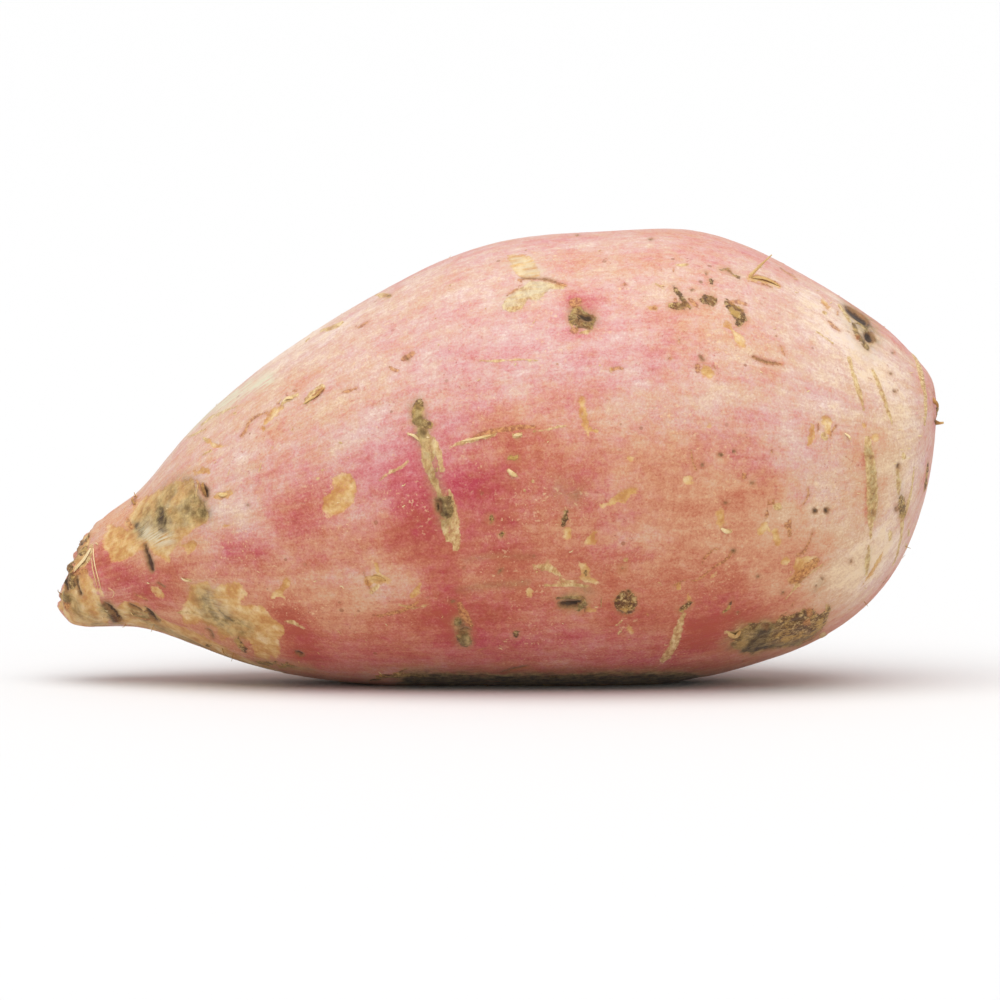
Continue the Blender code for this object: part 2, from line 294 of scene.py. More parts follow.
SCAR_STROKES = (
    ((-54.0, 46.4, 0.22), (-52.2, 47.9, 0.32), (-49.5, 49.1, 0.32), (-47.3, 49.9, 0.22)),
    ((-48.1, 48.6, 0.27), (-47.7, 48.6, 0.27)),
    ((-34.7, 50.9, 0.72), (-33.5, 52.2, 0.72), (-32.0, 53.3, 0.54)),
    ((-32.0, 63.5, 0.36), (-30.2, 63.9, 0.63), (-28.6, 64.8, 0.54)),
    ((-22.3, 70.0, 0.36), (-20.9, 69.8, 0.72), (-20.0, 69.7, 0.45)),
    ((-34.9, 61.7, 0.27), (-34.4, 62.1, 0.27)), ((-53.5, 44.3, 0.23), (-52.9, 43.7, 0.27)),
    ((-53.5, 41.2, 0.23), (-52.2, 41.9, 0.23)),
    ((-39.1, 50.4, 0.36), (-37.8, 51.3, 0.45), (-36.5, 51.8, 0.36)),
    ((73.3, 27.4, 0.36), (73.3, 26.6, 0.36)), ((72.5, 40.9, 0.4), (72.5, 40.5, 0.4)),
    ((72.9, 25.2, 0.27), (72.9, 24.5, 0.27)), ((72.2, 29.3, 0.27), (72.2, 28.6, 0.27)),
    ((70.2, 27.0, 0.36), (70.2, 25.9, 0.36)), ((58.9, 14.0, 0.45), (58.9, 13.5, 0.45)),
    ((-14.2, 46.3, 0.72), (-13.7, 44.5, 1.26), (-13.0, 42.7, 1.08), (-13.3, 40.5, 0.9),
     (-12.8, 38.7, 0.9), (-12.1, 36.9, 0.63), (-11.2, 35.1, 0.54), (-10.8, 33.5, 0.54)),
    ((-11.9, 43.7, 0.54), (-11.2, 41.9, 0.72), (-10.8, 40.1, 0.63), (-10.6, 38.3, 0.45)),
    ((-16.6, 44.8, 0.22), (-15.5, 44.5, 0.27), (-14.6, 43.6, 0.22)),
    ((-9.2, 34.7, 0.36), (-8.8, 32.9, 0.54), (-8.5, 30.8, 0.9), (-8.3, 28.4, 0.99), (-8.1, 26.3, 0.9),
     (-7.9, 24.3, 0.72)),
    ((-10.3, 29.3, 0.36), (-9.9, 27.5, 0.54), (-9.4, 25.7, 0.45)),
    ((-9.9, 41.9, 0.2), (-7.9, 43.0, 0.32), (-5.6, 43.6, 0.36), (-3.2, 44.2, 0.4), (-1.0, 44.8, 0.36)),
    ((2.7, 44.5, 0.4), (3.8, 44.6, 0.36)),
    ((5.8, 45.2, 0.18), (8.1, 45.5, 0.22), (10.4, 46.1, 0.22), (11.9, 46.3, 0.18)),
    ((-21.6, 36.5, 0.14), (-19.8, 38.0, 0.18), (-18.0, 38.7, 0.18), (-16.6, 39.8, 0.14)),
    ((1.6, 38.2, 0.27), (2.2, 37.6, 0.45), (2.9, 37.3, 0.27)), ((5.8, 36.2, 0.29), (5.9, 36.2, 0.29)),
    ((4.3, 34.7, 0.22), (4.5, 34.7, 0.22)),
    ((7.9, 17.5, 0.18), (10.8, 17.5, 0.36), (13.5, 17.6, 0.45), (15.8, 17.3, 0.27)),
    ((9.4, 18.2, 0.18), (11.7, 18.2, 0.22), (14.0, 18.4, 0.27)),
    ((20.9, 10.3, 0.23), (22.1, 11.2, 0.22)), ((21.2, 8.8, 0.27), (22.0, 9.7, 0.27)),
    ((33.1, 12.4, 0.4), (32.6, 11.0, 0.54), (31.9, 9.2, 0.81), (31.7, 7.7, 0.81), (31.0, 6.3, 0.72),
     (30.2, 5.0, 0.72), (29.3, 4.0, 0.54)),
    ((22.5, 22.1, 0.45), (22.7, 22.1, 0.45)), ((39.8, 27.7, 0.27), (41.4, 27.2, 0.32)),
    ((49.7, 31.7, 0.63), (49.9, 31.7, 0.63)), ((52.2, 20.0, 0.32), (52.4, 20.0, 0.32)),
    ((62.8, 58.3, 0.3), (63.3, 56.0, 0.42), (64.3, 53.0, 0.45), (65.0, 50.5, 0.35), (65.3, 49.1, 0.2)),
    ((65.9, 43.9, 0.5), (66.3, 41.0, 0.85), (66.8, 37.5, 1.05), (67.0, 34.0, 1.05), (67.0, 31.0, 0.9),
     (66.7, 28.5, 0.5), (66.6, 26.0, 0.25)),
    ((67.0, 56.3, 0.25), (68.0, 54.0, 0.4), (68.8, 51.5, 0.45), (69.6, 49.0, 0.35), (70.5, 46.6, 0.2)),
    ((71.5, 38.3, 0.3), (71.6, 36.0, 0.45), (71.7, 34.0, 0.3)),
    ((66.4, 24.7, 0.22), (66.4, 23.2, 0.36), (66.1, 21.2, 0.54), (65.9, 19.6, 0.32)),
    ((61.2, 68.0, 0.45), (62.3, 66.6, 0.54), (63.0, 65.3, 0.36)),
    ((58.3, 66.6, 0.36), (58.5, 66.6, 0.36)), ((66.2, 63.5, 0.14), (66.2, 63.2, 0.14)),
    ((57.1, 63.0, 0.16), (59.8, 61.0, 0.16)), ((58.1, 44.5, 0.54), (58.3, 44.1, 0.54)),
    ((62.1, 44.8, 0.22), (62.8, 43.9, 0.22)),
    ((31.5, 75.1, 0.23), (32.8, 74.9, 0.36), (33.8, 75.1, 0.23)),
    ((28.1, 71.8, 0.18), (29.5, 70.6, 0.18)),
    ((-3.6, 58.0, 0.14), (0, 58.0, 0.18), (3.6, 58.3, 0.18), (7.2, 58.0, 0.14)),
    ((-57.4, 18.9, 0.23), (-55.8, 18.4, 0.23)),
    ((-73.6, 24.8, 0.36), (-73.4, 23.4, 0.4), (-74.5, 22.1, 0.5), (-76.0, 21.1, 0.5),
     (-77.0, 19.6, 0.4), (-78.1, 18.0, 0.3)),
    ((-22.0, 17.5, 0.32), (-22.7, 16.9, 0.45), (-23.2, 16.4, 0.45)),
    ((-28.8, 43.2, 0.22), (-28.6, 43.2, 0.22)), ((-32.8, 36.9, 0.22), (-32.6, 36.9, 0.22)),
    ((-32.0, 38.3, 0.22), (-31.9, 38.3, 0.22)),
    ((-56.3, 44.3, 0.18), (-54.7, 45.0, 0.27), (-53.1, 45.9, 0.22)),
    ((56.3, 13.1, 0.22), (56.5, 12.8, 0.22)), ((12.8, 64.8, 0.36), (13.1, 63.9, 0.27)),
    ((14.4, 63.0, 0.36), (15.7, 63.2, 0.36)),
    ((72.0, 30.8, 0.18), (72.5, 30.8, 0.18)),
    ((44.8, 73.3, 0.18), (46.3, 74.5, 0.27), (47.3, 75.6, 0.27)),
    ((20.0, 56.5, 0.16), (20.0, 56.2, 0.16)),
)
RUST_STROKES = (
    ((51.5, 28.4, 0.63), (52.2, 29.0, 0.45)), ((52.0, 27.5, 0.63), (52.0, 26.8, 0.54)),
    ((-7.2, 14.0, 0.54), (-6.8, 12.8, 0.81), (-5.8, 11.0, 0.63), (-5.2, 10.3, 0.36)),
    ((57.2, 22.2, 0.4), (55.4, 20.8, 0.9), (53.6, 18.8, 0.8), (52.4, 18.4, 0.4)),
    ((-33.6, 51.6, 0.3), (-32.0, 53.0, 0.4)),
    ((-67.1, 29.5, 0.27), (-66.8, 28.8, 0.4), (-66.6, 28.1, 0.32)),
    ((-65.5, 33.5, 0.22), (-65.9, 32.4, 0.22)),
    ((-78.7, 14.0, 0.54), (-78.1, 13.7, 0.54)),
    ((-78.7, 17.1, 0.14), (-79.7, 15.5, 0.14)), ((-76.0, 19.8, 0.45), (-74.5, 20.2, 0.36)),
    ((-33.7, 51.1, 0.18), (-32.6, 52.0, 0.27), (-31.7, 52.9, 0.23)),
    ((-41.8, 48.8, 0.18), (-44.1, 48.1, 0.22), (-45.4, 47.0, 0.27), (-46.1, 45.2, 0.22),
     (-46.8, 44.5, 0.18)),
    ((-40.1, 50.4, 0.18), (-39.8, 50.4, 0.18)), ((-38.5, 52.0, 0.18), (-38.3, 51.8, 0.18)),
    ((-37.3, 52.6, 0.18), (-36.9, 52.6, 0.18)),
    ((-28.3, 52.4, 0.18), (-27.0, 52.6, 0.36), (-25.9, 53.1, 0.27)),
    ((-25.7, 63.9, 0.16), (-24.8, 64.4, 0.27), (-23.9, 65.0, 0.22)),
    ((-17.5, 58.3, 0.45), (-16.6, 58.7, 0.54), (-15.7, 59.4, 0.45)),
    ((-19.8, 56.9, 0.18), (-19.1, 56.3, 0.27), (-18.4, 56.2, 0.27)),
    ((-4.6, 44.3, 0.22), (-2.5, 45.1, 0.42), (-0.5, 45.5, 0.4), (2.0, 45.8, 0.5), (4.4, 46.1, 0.4),
     (6.2, 46.0, 0.2)),
    ((-22.0, 12.1, 0.27), (-18.9, 12.6, 0.36), (-16.2, 13.5, 0.36), (-14.8, 14.6, 0.22)),
    ((3.2, 72.5, 0.27), (4.0, 72.8, 0.27), (5.4, 72.7, 0.18), (7.4, 72.7, 0.18), (9.0, 72.4, 0.18),
     (10.1, 72.0, 0.23), (11.7, 71.5, 0.27)),
    ((1.3, 69.7, 0.18), (2.7, 70.7, 0.23), (4.0, 71.8, 0.18)), ((13.3, 68.4, 0.72), (14.0, 68.6, 0.72)),
    ((13.1, 63.4, 0.54), (13.7, 63.4, 0.54)),
    ((20.2, 56.3, 0.18), (20.9, 56.7, 0.32), (22.0, 56.5, 0.23)),
    ((11.3, 59.4, 0.2), (11.3, 59.2, 0.2)), ((10.1, 59.6, 0.16), (10.3, 59.4, 0.16)),
    ((10.3, 57.6, 0.2), (10.3, 57.4, 0.2)), ((22.3, 71.6, 0.23), (22.5, 71.6, 0.23)),
    ((34.2, 68.9, 0.27), (34.9, 68.2, 0.4), (35.6, 67.5, 0.22)),
    ((31.5, 69.1, 0.27), (31.5, 68.8, 0.27)), ((27.5, 67.3, 0.22), (27.9, 67.3, 0.22)),
    ((41.4, 68.4, 0.27), (42.8, 68.4, 0.36), (44.1, 67.9, 0.27)),
    ((45.4, 58.5, 0.14), (46.8, 57.8, 0.27), (48.2, 57.4, 0.32), (50.0, 57.2, 0.23), (50.8, 57.2, 0.14)),
    ((50.4, 60.5, 0.16), (50.8, 59.4, 0.2), (51.3, 58.5, 0.16)),
    ((44.5, 73.1, 0.14), (47.7, 72.9, 0.18), (49.5, 72.2, 0.18), (50.6, 71.3, 0.16)),
    ((44.8, 72.2, 0.14), (47.7, 71.6, 0.18), (49.3, 70.9, 0.18)),
    ((50.6, 74.9, 0.18), (51.5, 74.2, 0.29), (53.1, 73.3, 0.16)),
    ((35.5, 56.7, 0.54), (35.6, 56.2, 0.54)), ((38.2, 56.9, 0.18), (38.7, 56.5, 0.22)),
    ((32.2, 61.6, 0.18), (32.2, 61.2, 0.18)), ((30.4, 58.3, 0.27), (30.8, 58.3, 0.27)),
    ((29.2, 74.2, 0.18), (29.3, 74.2, 0.18)), ((31.0, 74.3, 0.22), (31.0, 74.0, 0.22)),
    ((48.1, 32.9, 0.2), (47.9, 31.5, 0.22), (47.7, 29.3, 0.18)),
    ((49.1, 33.1, 0.22), (49.0, 32.2, 0.27)), ((48.1, 30.6, 0.41), (48.1, 30.2, 0.41)),
    ((55.3, 34.9, 0.18), (55.6, 34.2, 0.27), (55.1, 33.1, 0.25), (54.5, 32.2, 0.18)),
    ((57.1, 46.4, 0.16), (57.1, 45.2, 0.16)),
    ((60.3, 46.3, 0.16), (59.6, 45.2, 0.2), (59.2, 44.3, 0.16)),
    ((41.8, 23.8, 0.18), (40.7, 22.3, 0.25), (39.6, 21.4, 0.25), (38.2, 20.9, 0.22), (37.1, 19.6, 0.18),
     (36.0, 18.7, 0.22), (34.2, 18.2, 0.18)),
    ((39.6, 24.1, 0.14), (38.3, 24.1, 0.18), (37.4, 23.0, 0.18), (36.7, 22.5, 0.18), (36.4, 21.2, 0.14)),
    ((26.5, 12.4, 0.22), (26.6, 12.1, 0.22)),
    ((62.8, 67.9, 0.18), (64.3, 67.3, 0.23), (65.9, 66.2, 0.18)),
    ((59.2, 65.0, 0.27), (60.1, 64.1, 0.4), (61.0, 63.4, 0.22)),
    ((64.3, 62.3, 0.23), (64.3, 61.9, 0.23)), ((55.1, 11.3, 0.63), (55.3, 11.2, 0.63)),
    ((55.6, 13.1, 0.54), (55.6, 12.6, 0.54)), ((54.9, 7.2, 0.18), (56.7, 8.1, 0.23), (58.1, 9.5, 0.18)),
    ((60.8, 66.8, 0.27), (60.8, 66.4, 0.27)), ((-9.5, 41.6, 0.14), (-10.1, 41.6, 0.14)),
    ((-9.5, 40.5, 0.14), (-9.4, 40.5, 0.14)), ((48.8, 41.8, 0.22), (48.8, 41.4, 0.22)),
    ((43.9, 37.4, 0.4), (43.9, 37.1, 0.4)),
    ((33.8, 18.9, 0.14), (32.2, 17.8, 0.22), (31.3, 17.5, 0.14)),
    ((34.4, 41.9, 0.13), (34.6, 39.8, 0.16), (35.3, 38.3, 0.13)),
    ((-54.7, 36.5, 0.18), (-54.2, 35.3, 0.18), (-53.6, 34.0, 0.18)),
)
PIT_STROKES = (
    ((-53.6, 35.4, 0.4), (-53.0, 34.5, 0.6), (-52.9, 33.7, 0.4)),
    ((-64.2, 24.8, 0.35), (-63.5, 22.8, 0.55), (-62.9, 21.0, 0.65), (-62.7, 20.2, 0.4)),
    ((-71.2, 14.2, 0.3), (-70.3, 13.4, 0.5), (-69.4, 12.4, 0.45), (-68.6, 11.0, 0.4)),
    ((-75.4, 25.2, 0.5), (-76.2, 23.8, 0.6), (-77.2, 22.6, 0.4)),
    ((-66.6, 13.9, 0.25), (-65.4, 13.2, 0.35), (-64.6, 12.6, 0.2)),
    ((-63.6, 13.0, 0.4), (-62.6, 11.6, 0.65), (-62.0, 10.8, 0.4)),
    ((-52.7, 9.7, 0.18), (-52.0, 9.2, 0.23), (-51.7, 8.1, 0.22)),
    ((-36.5, 5.4, 0.4), (-35.8, 5.0, 0.5)),
    ((-11.2, 32.2, 0.4), (-11.2, 31.1, 0.4)),
    ((-7.2, 9.2, 0.23), (-6.1, 9.7, 0.38), (-5.4, 9.5, 0.18)),
    ((0.5, 1.8, 0.14), (2.7, 2.5, 0.22), (4.9, 2.9, 0.14)),
    ((4.0, 72.9, 0.09), (7.4, 72.9, 0.13), (10.1, 72.2, 0.09)),
    ((13.9, 67.3, 0.27), (14.4, 67.0, 0.27)), ((13.5, 66.6, 0.25), (14.0, 66.4, 0.22)),
    ((14.2, 66.3, 0.4), (15.2, 65.6, 0.75), (16.1, 65.5, 0.7)),
    ((13.7, 65.2, 0.29), (14.0, 64.6, 0.29)), ((14.8, 64.3, 0.23), (15.1, 64.1, 0.23)),
    ((16.0, 64.1, 0.23), (16.2, 63.7, 0.23)),
    ((10.9, 14.0, 0.5), (12.1, 13.9, 0.75), (13.3, 13.8, 0.75), (14.4, 14.3, 0.45), (15.0, 14.9, 0.25)),
    ((21.6, 13.0, 0.27), (22.1, 12.6, 0.36)), ((23.0, 16.4, 0.27), (23.2, 16.4, 0.27)),
    ((56.7, 31.0, 0.5), (56.7, 30.9, 0.5)), ((58.6, 31.2, 0.52), (58.6, 31.0, 0.52)),
    ((63.2, 67.5, 0.9), (64.4, 66.6, 1.3), (65.8, 65.4, 0.9)),
    ((66.6, 62.8, 0.95), (66.7, 62.3, 0.95)),
    ((36.7, 69.5, 0.18), (37.6, 69.8, 0.22), (38.5, 69.1, 0.18), (38.9, 68.4, 0.18)),
    ((37.1, 68.6, 0.22), (37.6, 68.8, 0.29)), ((38.0, 68.2, 0.25), (38.3, 67.9, 0.25)),
    ((31.9, 67.5, 0.18), (32.6, 67.7, 0.27), (33.3, 68.0, 0.27)),
    ((41.2, 68.0, 0.23), (41.9, 67.7, 0.32)), ((42.3, 67.1, 0.32), (43.2, 66.8, 0.36)),
    ((36.0, 58.7, 0.18), (36.4, 58.0, 0.27)),
    ((45.5, 58.5, 0.09), (47.5, 57.6, 0.13), (49.5, 57.4, 0.09)),
    ((47.5, 10.4, 0.22), (47.9, 10.3, 0.22)), ((78.1, 47.2, 0.4), (78.3, 46.8, 0.4)),
    ((66.6, 40.5, 0.16), (66.8, 40.5, 0.16)), ((66.8, 33.1, 0.18), (67.0, 33.1, 0.18)),
    ((67.0, 31.0, 0.18), (67.0, 30.6, 0.18)), ((67.1, 34.0, 0.14), (67.3, 34.0, 0.14)),
    ((71.3, 31.5, 0.22), (71.3, 31.1, 0.22)), ((71.6, 39.2, 0.32), (71.6, 38.9, 0.32)),
    ((13.9, 80.5, 0.2), (14.0, 80.5, 0.2)), ((39.6, 41.0, 0.29), (40.0, 41.0, 0.29)),
    ((41.9, 41.6, 0.23), (42.1, 41.6, 0.23)), ((45.2, 36.0, 0.27), (45.4, 36.0, 0.27)),
    ((40.5, 32.4, 0.16), (40.7, 32.4, 0.16)), ((36.4, 39.4, 0.2), (36.4, 39.1, 0.2)),
    ((41.9, 23.8, 0.29), (42.1, 23.8, 0.29)), ((46.3, 19.3, 0.2), (46.4, 19.3, 0.2)),
    ((50.8, 16.4, 0.25), (50.9, 16.4, 0.25)), ((42.7, 12.8, 0.14), (42.8, 12.8, 0.14)),
    ((70.9, 52.4, 0.2), (71.1, 52.4, 0.2)), ((70.2, 55.6, 0.14), (70.4, 55.6, 0.14)),
    ((70.7, 59.4, 0.14), (70.9, 59.4, 0.14)), ((-45.5, 32.0, 0.16), (-45.4, 32.0, 0.16)),
    ((41.0, 74.0, 0.16), (41.2, 73.8, 0.16)), ((36.0, 72.0, 0.2), (36.2, 72.0, 0.2)),
    ((37.1, 73.6, 0.18), (37.1, 73.3, 0.18)), ((34.6, 70.6, 0.22), (34.7, 70.6, 0.22)),
    ((-61.6, 18.0, 0.14), (-60.5, 17.3, 0.14)), ((-20.3, 69.7, 0.27), (-20.0, 69.7, 0.27)),
    ((-16.9, 58.5, 0.18), (-16.6, 58.3, 0.18)), ((63.2, 22.1, 0.16), (63.2, 21.8, 0.16)),
    ((57.8, 18.9, 0.18), (58.0, 18.5, 0.18)), ((56.9, 17.6, 0.18), (57.1, 17.5, 0.18)),
    ((15.5, 13.5, 0.14), (15.1, 12.8, 0.14)), ((27.0, 79.7, 0.22), (27.2, 79.7, 0.22)),
)
BACK_BARE = (
    ((-52.0, 40.0), (-47.5, 42.5), (-43.0, 40.5), (-44.5, 36.0), (-49.0, 34.0), (-53.5, 36.0)),
    ((20.5, 17.0), (25.0, 19.5), (31.0, 17.5), (33.0, 13.0), (28.0, 10.5), (22.5, 12.0)),
    ((64.0, 26.0), (68.5, 29.0), (71.0, 24.5), (70.0, 18.5), (65.5, 17.5), (62.5, 21.0)),
    ((-8.0, 60.0), (-4.0, 62.5), (0.5, 60.5), (-1.5, 57.5), (-6.0, 57.0)),
)
BACK_BARE_STROKES = (
    ((-30.0, 24.0, 0.5), (-26.0, 22.5, 0.9), (-22.5, 23.5, 0.4)),
    ((44.0, 44.0, 0.4), (47.0, 42.0, 1.0), (48.0, 38.5, 0.5)),
    ((8.0, 36.0, 0.4), (9.0, 32.0, 0.8), (8.5, 28.5, 0.4)),
)
TOP_BARE = (
    ((-26.0, 12.0), (-21.0, 14.5), (-16.0, 12.5), (-18.0, 8.5), (-24.0, 8.0)),
    ((38.0, 20.0), (42.0, 23.0), (46.5, 20.5), (44.0, 16.5), (39.5, 16.0)),
)
UNDER_BARE = (
    ((-48.0, 6.0), (-43.0, 8.5), (-38.0, 5.0), (-40.0, 0.5), (-46.0, 1.0)),
    ((40.0, -6.0), (45.0, -3.0), (50.0, -7.0), (47.0, -12.0), (41.5, -11.0)),
)
NECK_BARE = (
    ((-5.0, 22.5, 1.5), (-1.0, 24.5, 2.4), (4.0, 22.0, 1.4)),
    ((5.5, 14.5, 1.0), (2.0, 12.0, 1.8), (-3.0, 12.5, 1.2)),
)
BACK_CORK = (
    ((-20.0, 50.0, 1.6), (-18.5, 48.5, 2.0)), ((34.0, 52.0, 0.8), (36.0, 50.0, 1.2), (35.0, 47.0, 0.8)),
    ((56.0, 38.0, 0.7), (57.5, 34.0, 1.1), (56.5, 30.0, 0.6)), ((-60.0, 30.0, 0.8), (-58.0, 27.0, 1.2)),
    ((2.0, 12.0, 0.7), (6.0, 11.0, 1.1), (9.0, 11.5, 0.6)), ((12.0, 56.0, 1.3), (13.5, 54.5, 1.3)),
)
BACK_SCAB = (((-36.0, 14.0), (-30.0, 16.5), (-24.0, 15.0), (-21.0, 11.5), (-25.5, 9.0), (-33.0, 10.0)),)
TOP_CORK = (
    ((-4.0, 18.0, 1.4), (-2.5, 20.0, 1.6)), ((16.0, 26.0, 0.7), (20.0, 27.0, 1.1), (23.0, 26.0, 0.6)),
)
UNDER_CORK = (
    ((-22.0, 14.0, 0.9), (-18.0, 15.0, 1.3), (-14.0, 14.0, 0.7)),
    ((24.0, -16.0, 1.5), (26.0, -15.0, 1.7)),
)
NECK_CORK = (
    ((-3.5, 18.5, 1.2), (0.0, 20.5, 2.2), (3.0, 18.0, 1.4)), ((-1.0, 15.5, 0.8), (1.5, 15.0, 1.2)),
)
TAIL_CORK = (
    ((-1.5, 50.5, 1.0), (1.5, 49.5, 1.4)), ((-9.0, 40.0, 0.6), (-7.5, 36.0, 0.9)),
    ((8.0, 56.0, 0.8), (11.0, 54.0, 1.0)),
)
BACK_SCARS = (
    ((-66.0, 44.0, 0.3), (-67.5, 38.0, 0.7), (-67.0, 31.0, 0.7), (-65.5, 25.0, 0.4)),
    ((-58.0, 56.0, 0.3), (-59.5, 50.0, 0.6), (-59.0, 44.0, 0.4)),
    ((-2.0, 38.0, 0.8), (-3.0, 33.0, 1.1), (-2.0, 27.0, 0.8), (-2.5, 22.0, 0.5)),
    ((30.0, 64.0, 0.2), (36.0, 63.0, 0.4), (42.0, 60.0, 0.2)),
    ((18.0, 44.0, 0.3), (24.0, 43.0, 0.5), (31.0, 44.5, 0.2)),
)
TOP_SCARS = (
    ((52.0, 4.0, 0.3), (53.5, 10.0, 0.6), (53.0, 16.0, 0.4)),
    ((-40.0, 6.0, 0.2), (-34.0, 7.0, 0.4), (-28.0, 6.0, 0.2)),
)
UNDER_SCARS = (
    ((58.0, -10.0, 0.4), (59.0, -2.0, 0.8), (58.5, 7.0, 0.5)),
    ((-10.0, -14.0, 0.3), (-4.0, -15.0, 0.6), (3.0, -13.5, 0.3)),
)
TAIL_SCARS = (
    ((-12.0, 48.0, 0.4), (-7.0, 56.0, 0.7), (0.0, 60.0, 0.6), (7.0, 57.0, 0.4)),
    ((10.0, 46.0, 0.4), (9.0, 38.0, 0.7), (5.0, 32.0, 0.5)),
    ((-16.0, 40.0, 0.3), (-15.0, 30.0, 0.6), (-9.0, 22.0, 0.4)),
)
BACK_RUST = (
    ((-20.0, 45.5, 0.3), (-17.0, 45.0, 0.6), (-14.0, 46.5, 0.3)),
    ((-38.0, 17.5, 0.3), (-30.0, 17.8, 0.4), (-22.0, 16.5, 0.3)),
    ((33.5, 12.0, 0.2), (34.5, 14.5, 0.4), (32.5, 18.5, 0.2)),
    ((-66.0, 22.0, 0.3), (-60.0, 20.0, 0.5), (-55.0, 21.0, 0.2)),
)
BACK_PITS = (
    ((-20.0, 49.0, 0.5), (-18.5, 48.5, 0.8)), ((35.5, 50.0, 0.5), (35.5, 49.0, 0.5)),
    ((14.0, 24.0, 0.4), (15.5, 24.0, 0.7)),
    ((-28.0, 12.5, 0.5), (-25.5, 12.0, 0.8)), ((50.0, 22.0, 0.4), (50.0, 21.0, 0.6)),
)
NECK_PITS = (
    ((-2.5, 21.5, 0.4), (1.5, 19.0, 0.8), (2.0, 16.5, 0.4)), ((4.0, 19.0, 0.3), (5.0, 16.0, 0.5)),
    ((-5.0, 17.0, 0.3), (-3.5, 14.5, 0.5)),
)
TAIL_PITS = (((0.0, 50.0, 0.5), (0.8, 49.6, 0.7)), ((9.0, 44.5, 0.3), (9.3, 43.5, 0.4)))

MARK_STEP = 1.5        # a stroke is laid on the skin in steps of this length
MARK_REACH = 4.0       # further from a mark than this, the skin knows nothing of it
DEPTH_KEPT = 0.3       # a mark seen aslant is drawn out over the curve, so depth counts this much
SMALL_SPOT = 2.5       # the same goes for soft colour that spreads less than this
SKIN_GAP = 0.6         # the widest gap between the skin's points where marks are fine

# How squarely the skin faces a side, from 1 for squarely to 0 for edge on, below which
STROKE_SEEN = 0.04     # no stroke's centre line is set on it
PATCH_SEEN = 0.02      # no patch reaches
COLOUR_SEEN = -0.3     # no stroke or soft colour reaches, a little round the edge
STREWN_SEEN = 0.35     # no strewn mark starts


def seen(side, places):
    """Right and up as an eye sees them from a side: offsets from where it aims, times distance over
    distance less nearness, plus where it aims."""
    right, up, toward = SIDES[side]
    offset = places - EYE_AIM
    spread = EYE_DISTANCE / (EYE_DISTANCE - offset @ toward)
    rightward = (offset @ right) * spread + EYE_AIM @ right
    upward = (offset @ up) * spread + EYE_AIM @ up
    return np.stack([rightward, upward], axis=-1)


def on_skin(side, spots):
    """Points of the skin under spots seen from a side, and the way it faces there: the nearest grid
    point that faces the eye, moved along its tangent plane by what is still missing."""
    right, up, toward = SIDES[side]
    shown = np.flatnonzero(facing @ toward > STROKE_SEEN)
    view = seen(side, points[shown])
    nearest = shown[((view[None] - spots[:, None]) ** 2).sum(axis=-1).argmin(axis=1)]
    missing = spots - seen(side, points[nearest])
    shift = missing[:, :1] * right + missing[:, 1:] * up
    slope = (facing[nearest] * shift).sum(axis=1) / (facing[nearest] @ toward)
    return points[nearest] + shift - np.clip(slope, -1.5, 1.5)[:, None] * toward, facing[nearest]


def path_on_skin(side, stroke):
    """A stroke's centre line on the skin with its half-width: the flat stroke in even steps, then each
    step set on the skin."""
    stroke = np.array(stroke, float)
    lengths = np.concatenate([[0], np.cumsum(np.hypot(*np.diff(stroke[:, :2], axis=0).T))])
    at = np.linspace(0, lengths[-1], int(lengths[-1] / MARK_STEP) + 2)
    even = np.stack([np.interp(at, lengths, column) for column in stroke.T], axis=-1)
    return np.column_stack([on_skin(side, even[:, :2])[0], even[:, 2]])


def off_path(places, path):
    """Nearest point of a polyline: each place is dropped on every piece, and the piece whose edge is
    nearest counts. Gives the offset from the centre line and the half-width there."""
    start, piece = path[:-1, :3], np.diff(path[:, :3], axis=0)
    offset = places[:, None] - start
    part = np.clip((offset * piece).sum(axis=-1) / np.maximum((piece**2).sum(axis=-1), 1e-9), 0, 1)
    offset = offset - part[..., None] * piece
    half = path[:-1, 3] + part * np.diff(path[:, 3])
    best = (np.linalg.norm(offset, axis=-1) - half).argmin(axis=1)
    rows = np.arange(len(places))
    return offset[rows, best], half[rows, best]


def off_outline(spots, outline):
    """Signed distance from a closed outline: the least distance to an edge, negative inside, where a
    line to the right crosses the outline an odd number of times."""
    start, edge = outline, np.roll(outline, -1, axis=0) - outline
    offset = spots[:, None] - start
    part = np.clip((offset * edge).sum(axis=-1) / (edge**2).sum(axis=-1), 0, 1)
    gap = np.linalg.norm(offset - part[..., None] * edge, axis=-1).min(axis=1)
    crosses = (offset[..., 1] >= 0) != (offset[..., 1] >= edge[:, 1])
    level = np.where(np.abs(edge[:, 1]) < 1e-6, 1e-6, edge[:, 1])
    right_of = offset[..., 1] / level * edge[:, 0] > offset[..., 0]
    return np.where((crosses & right_of).sum(axis=1) % 2 == 1, -gap, gap)


